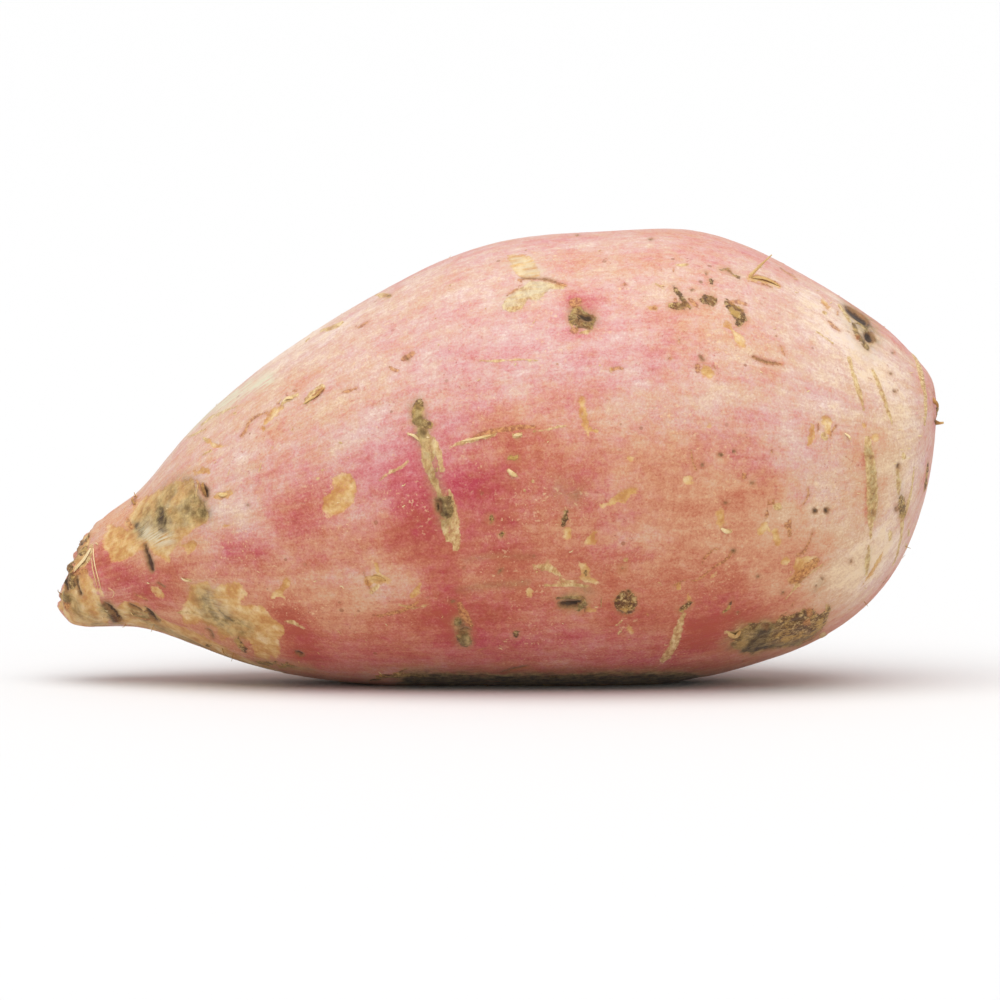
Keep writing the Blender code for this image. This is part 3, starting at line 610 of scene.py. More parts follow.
def lay_marks(*groups):
    """One kind of mark as four numbers at each skin point: the offset from its centre line and, last,
    what to add to that offset's length to get the distance from its edge. Half-way between two marks
    the last number rises, or the offsets, which point opposite ways there, would meet at nothing."""
    field = np.zeros((len(points), 4))
    first = np.full(len(points), MARK_REACH)
    second = first.copy()
    field[:, 3] = MARK_REACH
    for side, strokes, patches in groups:
        toward = SIDES[side][2]
        flatten = np.eye(3) - (1 - DEPTH_KEPT) * np.outer(toward, toward)
        flat = points @ flatten
        for stroke in strokes:
            path = path_on_skin(side, stroke)
            path[:, :3] = path[:, :3] @ flatten
            low, high = path[:, :3].min(axis=0) - MARK_REACH, path[:, :3].max(axis=0) + MARK_REACH
            boxed = ((flat > low) & (flat < high)).all(axis=1)
            near = np.flatnonzero(boxed & (facing @ toward > COLOUR_SEEN))
            offset, half = off_path(flat[near], path)
            edge = np.linalg.norm(offset, axis=1) - half
            closer = edge < first[near]
            second[near] = np.where(closer, first[near], np.minimum(second[near], edge))
            first[near] = np.where(closer, edge, first[near])
            field[near[closer]] = np.column_stack([offset, -half])[closer]
        for patch in patches:
            view = seen(side, points)
            outline = np.array(patch, float)
            low, high = outline.min(axis=0) - MARK_REACH, outline.max(axis=0) + MARK_REACH
            boxed = ((view > low) & (view < high)).all(axis=1)
            near = np.flatnonzero(boxed & (facing @ toward > PATCH_SEEN))
            edge = off_outline(view[near], outline)
            closer = edge < first[near]
            first[near] = np.where(closer, edge, first[near])
            field[near[closer]] = np.column_stack([np.zeros((len(near), 3)), edge])[closer]
    between = ramp(2.2 * SKIN_GAP - (second - first), 0, SKIN_GAP) * ramp(first, 0.1, 0.4)
    field[:, 3] += 3 * between
    return field


def scatter(side, count, length, half, seed, lowest=-99.0):
    """Short strokes at random places that face a side squarely, each along the root with a slight
    slant and bend."""
    dice = np.random.default_rng(seed)
    squarely = facing @ SIDES[side][2] > STREWN_SEEN
    shown = np.flatnonzero(squarely & (seen(side, points)[:, 1] > lowest))
    spots = seen(side, points[dice.choice(shown, count)])
    sizes = length * dice.uniform(0.4, 1.3, count)
    slants = dice.normal(0, 0.35, count)
    halves = half * dice.uniform(0.5, 1.3, count)
    strokes = []
    for spot, size, slant, wide, bend in zip(spots, sizes, slants, halves, dice.normal(0, 0.15, count)):
        run = size / 2 * np.array([np.cos(slant), np.sin(slant)])
        bow = bend * size * np.array([-np.sin(slant), np.cos(slant)])
        strokes.append([(*(spot - run), 0.4 * wide), (*(spot + bow), wide), (*(spot + run), 0.4 * wide)])
    return strokes


# The lowest that strewn marks start, as seen from each side. From the top, upwards is to the back.
OTHER_SIDES = (("back", -99.0), ("top", 6.0), ("under", -99.0))


def elsewhere(count, length, half, seed):
    """The same kind of small mark strewn over the sides that no list above describes."""
    return [
        (side, scatter(side, count, length, half, seed + place, lowest), ())
        for place, (side, lowest) in enumerate(OTHER_SIDES)
    ]


bare = lay_marks(
    ("front", BARE_STROKES, BARE_PATCHES), ("back", BACK_BARE_STROKES, BACK_BARE), ("top", (), TOP_BARE),
    ("under", (), UNDER_BARE), ("neck", NECK_BARE, ()), *elsewhere(9, 3.0, 0.7, 10)
)
cork = lay_marks(
    ("front", CORK_STROKES, CORK_PATCHES), ("back", BACK_CORK, BACK_SCAB), ("top", TOP_CORK, ()),
    ("under", UNDER_CORK, ()), ("neck", NECK_CORK, ()), ("tail", TAIL_CORK, ()),
    *elsewhere(8, 2.0, 0.4, 20)
)
scar = lay_marks(
    ("front", SCAR_STROKES, SCAR_PATCHES), ("back", BACK_SCARS, ()), ("top", TOP_SCARS, ()),
    ("under", UNDER_SCARS, ()), ("tail", TAIL_SCARS, ()), *elsewhere(7, 5.0, 0.35, 30)
)
rust = lay_marks(("front", RUST_STROKES, ()), ("back", BACK_RUST, ()), *elsewhere(26, 2.4, 0.25, 40))
pit = lay_marks(
    ("front", PIT_STROKES, ()), ("back", BACK_PITS, ()), ("neck", NECK_PITS, ()), ("tail", TAIL_PITS, ()),
    *elsewhere(9, 0.6, 0.3, 50)
)


def depth_in(field):
    """How far inside a mark's edge a skin point lies, in millimetres, negative outside."""
    return -(np.linalg.norm(field[:, :3], axis=1) + field[:, 3])


# Soft colour. Each row: the side it is seen from, how much, how far it spreads, and the places it
# runs through.
FLUSH_AND_PAINTED_LIGHT = (
    # paler crown and ends: painted highlight over the crown and painted sheen at both ends; then paler
    # places of the skin
    ("front", -0.22, 15.0, (-34.0, 62.0), (-10.0, 70.0), (16.0, 74.0), (44.0, 70.0), (58.0, 60.0)),
    ("front", -0.10, 10.0, (-20.0, 50.0), (10.0, 58.0), (40.0, 54.0)),
    ("front", -0.18, 12.0, (-62.0, 40.0), (-45.0, 46.0), (-30.0, 44.0)),
    ("front", -0.30, 9.0, (60.0, 68.0), (70.0, 56.0), (74.0, 42.0), (70.0, 26.0)),
    ("front", -0.20, 8.0, (56.0, 46.0), (60.0, 30.0), (66.0, 18.0)),
    ("front", -0.18, 5.0, (10.0, 43.0), (12.0, 43.0)),
    ("front", -0.14, 7.0, (24.0, 52.0), (36.0, 50.0)),
    ("front", -0.22, 5.0, (-22.0, 17.0), (-16.0, 17.5)),
    ("front", -0.14, 6.0, (-36.0, 20.0), (-30.0, 12.0)),
    # crimson of the middle, and paler places in it
    ("front", 0.26, 5.0, (-17.0, 40.0), (-15.0, 30.0), (-14.0, 22.0)),
    ("front", 0.20, 5.0, (-6.0, 36.0), (4.0, 40.0), (14.0, 38.0)),
    ("front", 0.16, 5.0, (4.0, 46.0), (14.0, 45.0)),
    ("front", -0.08, 5.0, (16.0, 39.0), (24.0, 38.0)),
    ("front", 0.10, 6.0, (28.0, 38.0), (46.0, 38.0)),
    ("front", 0.16, 7.0, (-8.0, 30.0), (6.0, 24.0), (16.0, 32.0)),
    ("front", 0.22, 6.0, (-14.0, 12.0), (-6.0, 11.0), (6.0, 14.0)),
    ("front", 0.30, 4.0, (36.0, 8.0), (41.0, 15.0), (44.0, 11.0)),
    ("front", 0.22, 4.0, (-37.0, 30.0), (-33.0, 34.0), (-24.0, 40.0)),
    ("front", -0.30, 3.5, (-51.0, 31.5), (-46.0, 30.0)),
    ("front", 0.14, 6.0, (-6.0, 30.0), (2.0, 22.0)),
    ("front", 0.12, 6.0, (-36.0, 24.0), (-16.0, 25.0)),
    ("front", 0.16, 5.0, (20.0, 12.0), (32.0, 13.0)),
    ("front", -0.16, 6.0, (64.0, 16.0), (58.0, 18.0)),
    ("front", -0.06, 5.0, (26.0, 46.0), (32.0, 44.0)),
    ("front", -0.06, 6.0, (70.0, 48.0), (73.0, 36.0)),
    ("front", 0.26, 3.5, (-48.5, 25.0), (-44.0, 23.0)),
    ("front", 0.34, 3.6, (-71.5, 21.5), (-64.0, 16.0), (-59.0, 18.0)),
    ("front", 0.12, 6.0, (-62.0, 14.0), (-46.0, 8.0)),
    ("front", 0.35, 1.8, (13.2, 68.6), (15.4, 68.0)),
    ("front", 0.14, 4.5, (-10.0, 45.0), (-4.0, 46.5)),
    ("front", 0.28, 0.5, (65.3, 41.0), (65.9, 35.0), (66.2, 29.0)),
    ("front", 0.16, 4.0, (-1.0, 33.0), (6.0, 30.0)),
    ("front", 0.14, 4.5, (-8.0, 24.0), (-8.0, 9.0)),
    ("front", 0.10, 6.0, (24.0, 54.0), (36.0, 45.0)),
    ("front", 0.10, 5.0, (-38.0, 38.0), (-38.0, 22.0)),
    ("front", 0.12, 7.0, (14.0, 22.0), (24.0, 14.0), (36.0, 20.0)),
    ("front", 0.10, 7.0, (10.0, 66.0), (26.0, 66.0)),
    ("front", 0.30, 4.0, (-38.0, 12.0), (-35.0, 5.0)),
    ("front", 0.10, 5.0, (18.0, 22.0), (24.0, 18.0)),
    ("front", 0.10, 3.0, (41.5, 48.0), (42.5, 38.0)),
    ("front", 0.12, 3.0, (42.5, 32.0), (44.0, 29.0)),
    # deeper crimson along the lower belly: painted shade, darker towards the table
    ("front", 0.16, 9.0, (-30.0, 6.0), (0.0, 6.0), (30.0, 5.0), (46.0, 10.0)),
    ("front", 0.20, 4.0, (-10.0, 2.0), (10.0, 1.6), (40.0, 3.0)),
    ("front", 0.12, 7.0, (-40.0, 12.0), (-20.0, 7.0), (10.0, 8.0), (34.0, 8.0)),
    # the sides that lie away; the paler upper back and top are painted highlight, as on the crown
    ("back", 0.14, 16.0, (-30.0, 30.0), (10.0, 26.0), (40.0, 30.0)),
    ("back", -0.20, 14.0, (-50.0, 50.0), (0.0, 66.0), (40.0, 60.0)),
    ("back", 0.22, 6.0, (-10.0, 42.0), (2.0, 30.0), (6.0, 18.0)),
    ("back", 0.20, 5.0, (30.0, 34.0), (38.0, 22.0)),
    ("under", 0.08, 16.0, (-30.0, 0.0), (40.0, 4.0)),
    ("top", -0.18, 14.0, (-30.0, 12.0), (30.0, 16.0)),
)
TAWNY = (
    ("front", 0.35, 9.0, (27.0, 40.0), (34.0, 30.0), (33.0, 22.0)),
    ("front", 0.45, 10.0, (48.0, 28.0), (64.0, 24.0), (68.0, 42.0)),
    ("front", 0.15, 10.0, (-50.0, 46.0), (-34.0, 50.0), (-28.0, 58.0)),
    ("front", 0.40, 8.0, (-70.0, 30.0), (-50.0, 14.0), (-30.0, 12.0)),
    ("front", 0.25, 8.0, (-36.0, 26.0), (14.0, 20.0), (34.0, 20.0)),
    ("front", 0.25, 8.0, (20.0, 14.0), (40.0, 8.0), (56.0, 12.0)),
    ("front", 0.25, 8.0, (0.0, 44.0), (8.0, 38.0)),
    ("front", 0.20, 9.0, (-20.0, 8.0), (0.0, 16.0), (10.0, 22.0)),
    ("front", -0.30, 8.0, (-22.0, 42.0), (-12.0, 40.0)),
    ("front", -0.22, 10.0, (-10.0, 58.0), (20.0, 60.0)),
    ("front", 0.20, 7.0, (36.0, 66.0), (48.0, 58.0)),
    ("front", 0.35, 4.0, (-47.0, 12.0), (-42.0, 9.0)),
    ("front", 0.25, 7.0, (36.0, 31.0), (47.0, 30.0), (48.0, 16.0)),
    ("front", 0.30, 5.0, (-78.0, 14.0), (-60.0, 12.0), (-50.0, 8.0)),
    # the sides that lie away
    ("back", 0.25, 14.0, (-40.0, 20.0), (0.0, 10.0), (40.0, 16.0)),
    ("under", 0.30, 18.0, (-40.0, 0.0), (50.0, 0.0)),
    ("top", -0.10, 14.0, (0.0, 10.0), (30.0, 10.0)),
)
FILM_AND_RIM_SHEEN = (
    # painted sheen along the upper-left rim
    ("front", 1.3, 1.8, (-56.0, 46.0), (-51.0, 50.0), (-46.5, 52.8), (-42.0, 54.6)),
    # bleached places on the neck, its flank and the crown
    ("front", 0.75, 1.6, (-64.0, 27.4), (-61.5, 25.6), (-60.0, 26.0)),
    ("front", 0.3, 2.0, (-52.0, 15.4), (-50.5, 13.0)),
    ("front", 0.6, 2.6, (2.0, 69.0), (7.0, 71.0)),
    ("front", 0.6, 2.6, (3.0, 76.0), (6.0, 74.0)),
    # painted sheen along the upper-left rim, broader
    ("front", 0.5, 3.0, (-66.0, 37.5), (-58.0, 45.0), (-48.0, 51.5)),
)
# From about 1 upwards, the stain is dark: soil, and painted shade along the belly's line of contact.
STAINS_AND_CONTACT_SHADE = (
    # painted shade along the belly's line of contact with the table, then darker along the neck's lower
    # edge
    ("front", 1.5, 2.2, (-16.0, 0.4), (0.0, 0.2), (34.0, 0.6)),
    ("front", 0.7, 3.0, (-60.0, 9.0), (-50.0, 4.5), (-44.0, 2.5)),
    ("front", 0.6, 2.5, (-42.0, 3.4), (-36.0, 2.6)),
    # on the rubbed patches of the neck
    ("front", 0.5, 2.4, (-55.8, 35.6), (-55.4, 33.0), (-54.0, 30.8)),
    ("front", 0.7, 3.4, (-60.0, 34.0), (-64.4, 29.6), (-61.2, 28.6), (-57.0, 30.4)),
    ("front", 1.0, 1.0, (-61.4, 31.0), (-61.2, 27.8)),
    ("front", 0.5, 1.2, (-54.2, 33.4), (-53.4, 30.4)),
    ("front", 1.0, 1.0, (-65.6, 28.4), (-65.2, 26.8)),
    ("front", 0.9, 3.0, (-53.0, 14.6), (-51.0, 11.0), (-47.0, 9.6)),
    # on the neck's flank and its torn rim
    ("front", 0.65, 2.6, (-78.5, 16.0), (-76.0, 12.0), (-72.0, 10.0)),
    ("front", 1.7, 1.2, (-71.0, 13.6), (-69.0, 11.0)),
    ("front", 1.0, 1.2, (-66.0, 12.4), (-62.6, 11.0)),
    ("front", 1.2, 1.2, (-76.2, 25.0), (-77.4, 22.6)),
    # in the scabs of the middle
    ("front", 1.0, 1.3, (-15.0, 49.4), (-14.0, 45.0)),
    ("front", 0.55, 1.5, (-13.6, 43.0), (-12.0, 37.0), (-10.0, 29.0)),
    ("front", 1.0, 1.1, (-11.0, 32.6), (-9.8, 30.6)),
    ("front", 1.25, 1.3, (-7.0, 10.6), (-6.4, 7.4)),
    # two shallow creases in the belly
    ("front", 0.3, 0.6, (-6.3, 22.1), (0.0, 22.9), (6.3, 22.5)),
    ("front", 0.35, 0.7, (-7.4, 16.5), (-2.9, 17.3), (5.1, 17.9)),
    # round the hollows and scabs of the belly, the crown and the tail end
    ("front", 1.2, 1.3, (12.0, 14.4), (13.4, 14.2)),
    ("front", 0.8, 1.6, (13.6, 66.4), (16.0, 65.4)),
    ("front", 0.8, 1.6, (41.4, 7.0), (44.0, 9.6)),
    ("front", 0.25, 0.9, (58.0, 18.5), (56.8, 16.8)),
    ("front", 0.9, 2.0, (63.4, 67.6), (66.4, 65.6), (67.0, 62.4)),
    ("front", 2.0, 1.0, (63.4, 67.2), (65.6, 65.6)),
    ("front", 2.0, 0.7, (66.8, 62.6), (66.9, 62.3)),
    # scars along the belly's line of contact
    ("front", 1.7, 1.8, (46.0, 6.8), (47.8, 9.6)),
    ("front", 1.2, 0.8, (44.0, 5.6), (49.0, 6.4), (54.0, 6.9), (57.0, 8.8)),
    # faint smudges
    ("front", 0.5, 2.0, (11.5, 34.5), (13.5, 33.5)),
    ("front", 0.4, 3.0, (63.5, 65.0), (66.0, 60.5)),
    ("front", 0.5, 2.0, (15.0, 16.5), (14.5, 15.3)),
    # in the ring scars of the tail end
    ("front", 0.6, 0.8, (66.2, 41.5), (67.0, 36.0), (67.0, 30.0)),
    ("front", 0.3, 0.7, (66.6, 24.0), (66.0, 20.5)),
    ("front", 0.3, 0.8, (71.6, 38.0), (72.2, 32.5), (72.4, 30.0)),
    # the sides that lie away
    ("under", 0.5, 9.0, (-30.0, 0.0), (34.0, 2.0)),
    ("back", 0.4, 6.0, (-20.0, 10.0), (20.0, 6.0)),
    ("back", 0.6, 2.6, (-48.0, 39.0), (-46.0, 37.5)),
)


def wash(rows, base):
    """A soft colour strength: the base plus, for each row, its amount times exp(-(distance / spread)^2)
    from the line through its places. For a small spot, depth counts for less, as it does for a mark."""
    strength = np.full(len(points), base, float)
    for side, amount, spread, *places in rows:
        path = path_on_skin(side, [(*place, 0.0) for place in places])
        toward = SIDES[side][2]
        flatten = np.eye(3) - (1 - DEPTH_KEPT) * (spread < SMALL_SPOT) * np.outer(toward, toward)
        flat = points @ flatten
        path[:, :3] = path[:, :3] @ flatten
        low, high = path[:, :3].min(axis=0) - 3 * spread, path[:, :3].max(axis=0) + 3 * spread
        boxed = ((flat > low) & (flat < high)).all(axis=1)
        near = np.flatnonzero(boxed & (facing @ toward > COLOUR_SEEN))
        offset, _ = off_path(flat[near], path)
        strength[near] += amount * np.exp(-((offset**2).sum(axis=1)) / spread**2)
    return strength


flush_and_painted_light = wash(FLUSH_AND_PAINTED_LIGHT, 0.50)
tawny = wash(TAWNY, 0.46)
film_and_rim_sheen = wash(FILM_AND_RIM_SHEEN, 0.0)
stain_and_contact_shade = wash(STAINS_AND_CONTACT_SHADE, 0.0)

# ---------------------------------------------------------------------------------------------
# The skin.
# A thin, dull, rosy skin over cream flesh. It follows the root's slow swellings and fine lengthwise
# furrows; scabs stand a little proud, rubbed patches lie a little lower, and the hollows are dents.

SWELLINGS, DIMPLES, FURROWS, PORES = 0.34, 0.13, 0.05, 0.025     # heights above and below the form
SCAB_RISE, SCAB_ROUGH, SCAR_RISE, BARE_SINK = 0.32, 0.22, 0.14, 0.16
HOLLOW_DEPTH, HOLLOW_LIP, STAIN_SINK = 0.7, 0.20, 0.25
BREAK_ROUGH, BREAK_REACH = 0.55, 9.0                              # torn fibres at the neck's end

along_grain = growth / np.array([9.0, 1.6, 1.6])
relief = SWELLINGS * lumps(points, 24.0, 1) + DIMPLES * lumps(points, 9.0, 2)
relief += FURROWS * lumps(along_grain, 1.0, 3) + PORES * lumps(points, 1.1, 4)
relief += SCAB_RISE * ramp(depth_in(cork), -0.1, 0.9)
relief += SCAB_ROUGH * ramp(depth_in(cork), 0, 0.5) * lumps(points, 1.3, 5)
relief += SCAR_RISE * ramp(depth_in(scar), -0.3, 0.6) * (1 + 0.8 * lumps(points, 1.2, 6))
relief -= BARE_SINK * ramp(depth_in(bare), -0.2, 0.4) * (1 - 0.9 * lumps(points, 1.6, 7))
relief -= HOLLOW_DEPTH * ramp(depth_in(pit), -HOLLOW_LIP, 0.7)
relief -= STAIN_SINK * np.clip(stain_and_contact_shade, 0, 1)
relief += BREAK_ROUGH * ramp(growth[:, 0], BREAK_REACH, -1.0) * lumps(points, 1.5, 8)
points = points + facing * relief[:, None]
points[:, 2] = np.maximum(points[:, 2], 0)


def grid_faces(rows, columns):
    """Faces of a closed grid, rows along and columns round, whose two poles come after its points."""
    numbers = np.arange(rows * columns).reshape(rows, columns)
    beside = np.roll(numbers, -1, axis=1)
    quads = np.stack([numbers[:-1], beside[:-1], beside[1:], numbers[1:]], axis=-1).reshape(-1, 4)
    near = np.stack([beside[0], numbers[0], np.full(columns, rows * columns)], axis=-1)
    far = np.stack([numbers[-1], beside[-1], np.full(columns, rows * columns + 1)], axis=-1)
    return [quads, near, far]


def make_piece(name, places, faces):
    """A smooth mesh object in millimetres, linked to the scene."""
    mesh = bpy.data.meshes.new(name)
    mesh.from_pydata(places * MM, [], [corner for group in faces for corner in group.tolist()])
    mesh.shade_smooth()
    mesh.validate()
    piece = bpy.data.objects.new(name, mesh)
    bpy.context.scene.collection.objects.link(piece)
    return piece


skin = make_piece("skin", points, grid_faces(*form.shape[:2]))
marks_on_skin = {"bare": bare, "cork": cork, "scar": scar, "rust": rust, "pit": pit}
marks_on_skin["tints"] = np.column_stack([flush_and_painted_light, tawny, film_and_rim_sheen, stain_and_contact_shade])
for name, field in marks_on_skin.items():
    skin.data.attributes.new(name, "FLOAT_COLOR", "POINT").data.foreach_set("color", field.ravel())
skin.data.attributes.new("growth", "FLOAT_VECTOR", "POINT").data.foreach_set("vector", growth.ravel())

finish = bpy.data.materials.new("sweet_potato_skin")
finish.use_nodes = True
tree = finish.node_tree
shader = tree.nodes["Principled BSDF"]


def paint(red, green, blue):
    """A colour as a colour chart gives it, from 0 to 255, made linear."""
    share_of = np.array([red, green, blue]) / 255
    return (*np.where(share_of < 0.04045, share_of / 12.92, ((share_of + 0.055) / 1.055) ** 2.4), 1.0)


def node(kind, inputs, **settings):
    """A node with its settings, its inputs given as values or as sockets to link."""
    made = tree.nodes.new(kind)
    for key, value in settings.items():
        setattr(made, key, value)
    for key, value in inputs.items():
        if isinstance(value, bpy.types.NodeSocket):
            tree.links.new(value, made.inputs[key])
        else:
            made.inputs[key].default_value = value
    return made


def math(operation, first, second=0.0, third=0.0):
    """One step of arithmetic."""
    return node("ShaderNodeMath", {0: first, 1: second, 2: third}, operation=operation).outputs[0]


def blend(amount, below, above):
    """One colour over another."""
    return node("ShaderNodeMix", {0: amount, 6: below, 7: above}, data_type="RGBA").outputs[2]


def eased(value, low, high, to_low=0.0, to_high=1.0):
    """A smooth step from one value to another."""
    made = node("ShaderNodeMapRange", {0: value, 1: low, 2: high, 3: to_low, 4: to_high})
    made.interpolation_type = "SMOOTHSTEP"
    return made.outputs[0]


def speckle(where, size, detail=2.0, rough=0.55):
    """Noise from 0 to 1 whose lumps are one size, in millimetres, for each direction or for all."""
    sizes = np.broadcast_to(size, 3)
    scaled = node("ShaderNodeMapping", {"Vector": where, "Scale": tuple(1 / sizes)}).outputs[0]
    settings = {"Vector": scaled, "Scale": 1.0, "Detail": detail, "Roughness": rough}
    return node("ShaderNodeTexNoise", settings).outputs[0]


def sway(value, pattern, strength):
    """A value moved up and down by a pattern: value + strength x (pattern - 0.5)."""
    return math("MULTIPLY_ADD", math("SUBTRACT", pattern, 0.5), strength, value)


def attribute(name):
    """What is stored at the mesh's points under a name."""
    return node("ShaderNodeAttribute", {}, attribute_name=name)


def colours(value, stops):
    """Even steps of colour from 0 to 1."""
    made = tree.nodes.new("ShaderNodeValToRGB")
    tree.links.new(value, made.inputs[0])
    while len(made.color_ramp.elements) < len(stops):
        made.color_ramp.elements.new(0.5)
    for place, (element, stop) in enumerate(zip(made.color_ramp.elements, stops)):
        element.position = place / (len(stops) - 1)
        element.color = paint(*stop)
    return made.outputs[0]


in_metres = node("ShaderNodeTexCoord", {}).outputs["Object"]
here = node("ShaderNodeMapping", {"Vector": in_metres, "Scale": (1 / MM,) * 3}).outputs[0]
grown = attribute("growth").outputs["Vector"]
tints = attribute("tints")
tint_parts = node("ShaderNodeSeparateColor", {"Color": tints.outputs["Color"]}).outputs

# Soft colour: pink or tawny, from pale to crimson, drawn out lengthwise in streaks.
broad_streaks = speckle(grown, (26.0, 6.0, 6.0), 4.0, 0.6)
streaks = speckle(grown, (5.0, 1.1, 1.1), 3.0, 0.65)
clouds = speckle(here, 7.0, 4.0, 0.6)
grain = speckle(here, 0.42, 2.0, 0.75)
blotches = speckle(here, 1.6, 3.0, 0.7)
bands = speckle(grown, (2.2, 22.0, 22.0), 3.0, 0.6)
# The redness carries painted highlight over the crown and ends, and painted shade along the lower belly.
redness_and_painted_light = tint_parts[0]
for pattern, strength in (
    (broad_streaks, 0.62), (streaks, 0.40), (clouds, 0.52), (blotches, 0.46), (grain, 0.66), (bands, 0.18)
):
    redness_and_painted_light = sway(redness_and_painted_light, pattern, strength)
tawniness = sway(tint_parts[1], speckle(grown, (20.0, 8.0, 8.0), 4.0, 0.6), 0.9)
tawniness = sway(tawniness, speckle(here, 2.2, 4.0, 0.75), 1.3)
PINKS = ((237, 216, 206), (218, 180, 174), (212, 145, 144), (202, 104, 110), (184, 60, 78))
TANS = ((236, 208, 172), (216, 178, 144), (211, 150, 114), (194, 114, 84), (176, 82, 60))
colour = blend(eased(tawniness, 0, 1), colours(redness_and_painted_light, PINKS), colours(redness_and_painted_light, TANS))

# Pores: sparse little brown dots, each in its own cell, most cells empty.
cells = node("ShaderNodeTexVoronoi", {"Vector": here, "Scale": 0.32}, feature="F1")
cell_parts = node("ShaderNodeSeparateColor", {"Color": cells.outputs["Color"]}).outputs
pore_size = eased(cell_parts[0], 0.4, 1.0, 0.0, 0.14)
pores = eased(math("SUBTRACT", cells.outputs["Distance"], pore_size), -0.03, 0.02, 1.0, 0.0)
pores = math("MULTIPLY", pores, eased(cell_parts[1], 0.2, 0.9, 0.25, 0.9))
colour = blend(math("MULTIPLY", pores, 0.7), colour, paint(150, 92, 58))

# Scurf: clusters of reddish-brown grains, thick in some places and missing in others.
scurf_places = eased(speckle(here, 9.0, 2.0), 0.48, 0.66, 0.0, 0.55)
scurf = math("MULTIPLY", eased(speckle(here, 0.8, 3.0, 0.8), 0.60, 0.70), scurf_places)
colour = blend(scurf, colour, paint(160, 82, 62))

# Flecks: where the outermost skin has lifted in tiny golden crumbs, thick in some places.
fleck_places = eased(speckle(here, 11.0, 3.0, 0.6), 0.44, 0.68, 0.02, 0.55)
flecks = math("MULTIPLY", eased(speckle(here, 0.6, 1.0), 0.62, 0.72), fleck_places)
colour = blend(flecks, colour, paint(236, 204, 156))

coarse = speckle(here, 1.9, 3.0, 0.6)
fine = speckle(here, 0.55, 2.0, 0.7)


def shape_of(name, ragged, fraying, soft):
    """How far a mark covers the skin: its distance from the edge, the offset's length plus the last
    number, made ragged by coarse and fine noise and turned into 0 outside and 1 inside over a soft
    border."""
    mark = attribute(name)
    offset = node("ShaderNodeVectorMath", {0: mark.outputs["Vector"]}, operation="LENGTH")
    distance = math("ADD", offset.outputs["Value"], mark.outputs["Alpha"])
    distance = sway(sway(distance, coarse, ragged), fine, fraying)
    return distance, eased(distance, -soft, soft, 1.0, 0.0)


# Bare patches: cream to golden flesh, dried, with a browner rim.
FLESH = ((192, 132, 70), (211, 164, 96), (224, 188, 126), (235, 209, 160))
flesh_noise = speckle(here, 2.6, 3.0, 0.6)
bare_edge, bare_cover = shape_of("bare", 1.9, 1.1, 0.18)
flesh = colours(eased(flesh_noise, 0.3, 0.72), FLESH)
flesh = blend(math("MULTIPLY", eased(grain, 0.5, 0.8), 0.45), flesh, paint(186, 128, 70))
flesh = blend(math("MULTIPLY", eased(bare_edge, -0.5, 0.0), 0.35), flesh, paint(206, 136, 84))
colour = blend(math("MULTIPLY", bare_cover, eased(fine, 0.25, 0.55, 0.6, 0.92)), colour, flesh)

# Scars: pale, papery tissue.
SCAR_PAPER = ((178, 134, 82), (208, 172, 114), (230, 206, 152))
_, scar_cover = shape_of("scar", 1.0, 0.8, 0.14)
across = speckle(grown, (0.8, 1.3, 1.3), 3.0, 0.7)
paper = colours(eased(across, 0.32, 0.68), SCAR_PAPER)
colour = blend(math("MULTIPLY", scar_cover, eased(fine, 0.25, 0.6, 0.68, 0.95)), colour, paper)

# Scabs: crumbling cork, nearly black to cream, in places ochre or dark, with a tan surround.
BARK = ((48, 30, 18), (102, 70, 38), (164, 128, 76), (216, 188, 130))
cork_edge, cork_cover = shape_of("cork", 1.3, 0.9, 0.14)
crumbs = speckle(here, 0.9, 5.0, 0.8)
colour = blend(eased(cork_edge, 0.1, 1.1, 0.30, 0.0), colour, paint(190, 138, 84))
bark = colours(eased(crumbs, 0.36, 0.66), BARK)
bark = blend(math("MULTIPLY", eased(flesh_noise, 0.5, 0.62), 0.7), bark, paint(206, 164, 88))
bark = blend(math("MULTIPLY", eased(flesh_noise, 0.46, 0.36), 0.5), bark, paint(62, 42, 26))
colour = blend(math("MULTIPLY", cork_cover, eased(crumbs, 0.25, 0.5, 0.62, 0.95)), colour, bark)

# Weather, over skin and scars alike: grey-olive soil stain and dry, pale film; also painted shade at the
# belly's contact and painted sheen on the upper-left rim.
SOIL_STAIN_AND_SHADE_TONES = ((112, 88, 48), (156, 130, 80), (198, 170, 114))
soil_and_contact_shade = tints.outputs["Alpha"]
soil_stain_and_shade = math("MULTIPLY", soil_and_contact_shade, eased(speckle(here, 3.0, 3.0), 0.3, 0.6, 0.45, 1.0))
colour = blend(soil_stain_and_shade, colour, colours(eased(blotches, 0.3, 0.7), SOIL_STAIN_AND_SHADE_TONES))
# Dark soil in places, and painted shade along the belly's line of contact.
dark_soil_and_contact_shade = math("MULTIPLY", eased(soil_and_contact_shade, 0.8, 1.5), eased(blotches, 0.3, 0.6, 0.95, 0.55))
colour = blend(dark_soil_and_contact_shade, colour, paint(66, 46, 30))
# Pale film, and along the upper-left rim painted sheen in the same colour.
film_and_sheen = math("MULTIPLY", tint_parts[2], eased(speckle(grown, (3.0, 0.8, 0.8), 2.0), 0.32, 0.6))
colour = blend(film_and_sheen, colour, paint(218, 208, 180))

# Rust: brown ticks and torn spots, with a reddish surround.
rust_edge, rust_cover = shape_of("rust", 0.7, 0.5, 0.12)
colour = blend(eased(rust_edge, 0.0, 0.6, 0.25, 0.0), colour, paint(184, 104, 70))
rusty = blend(eased(fine, 0.35, 0.65), paint(150, 88, 50), paint(212, 154, 92))
colour = blend(math("MULTIPLY", rust_cover, 0.75), colour, rusty)

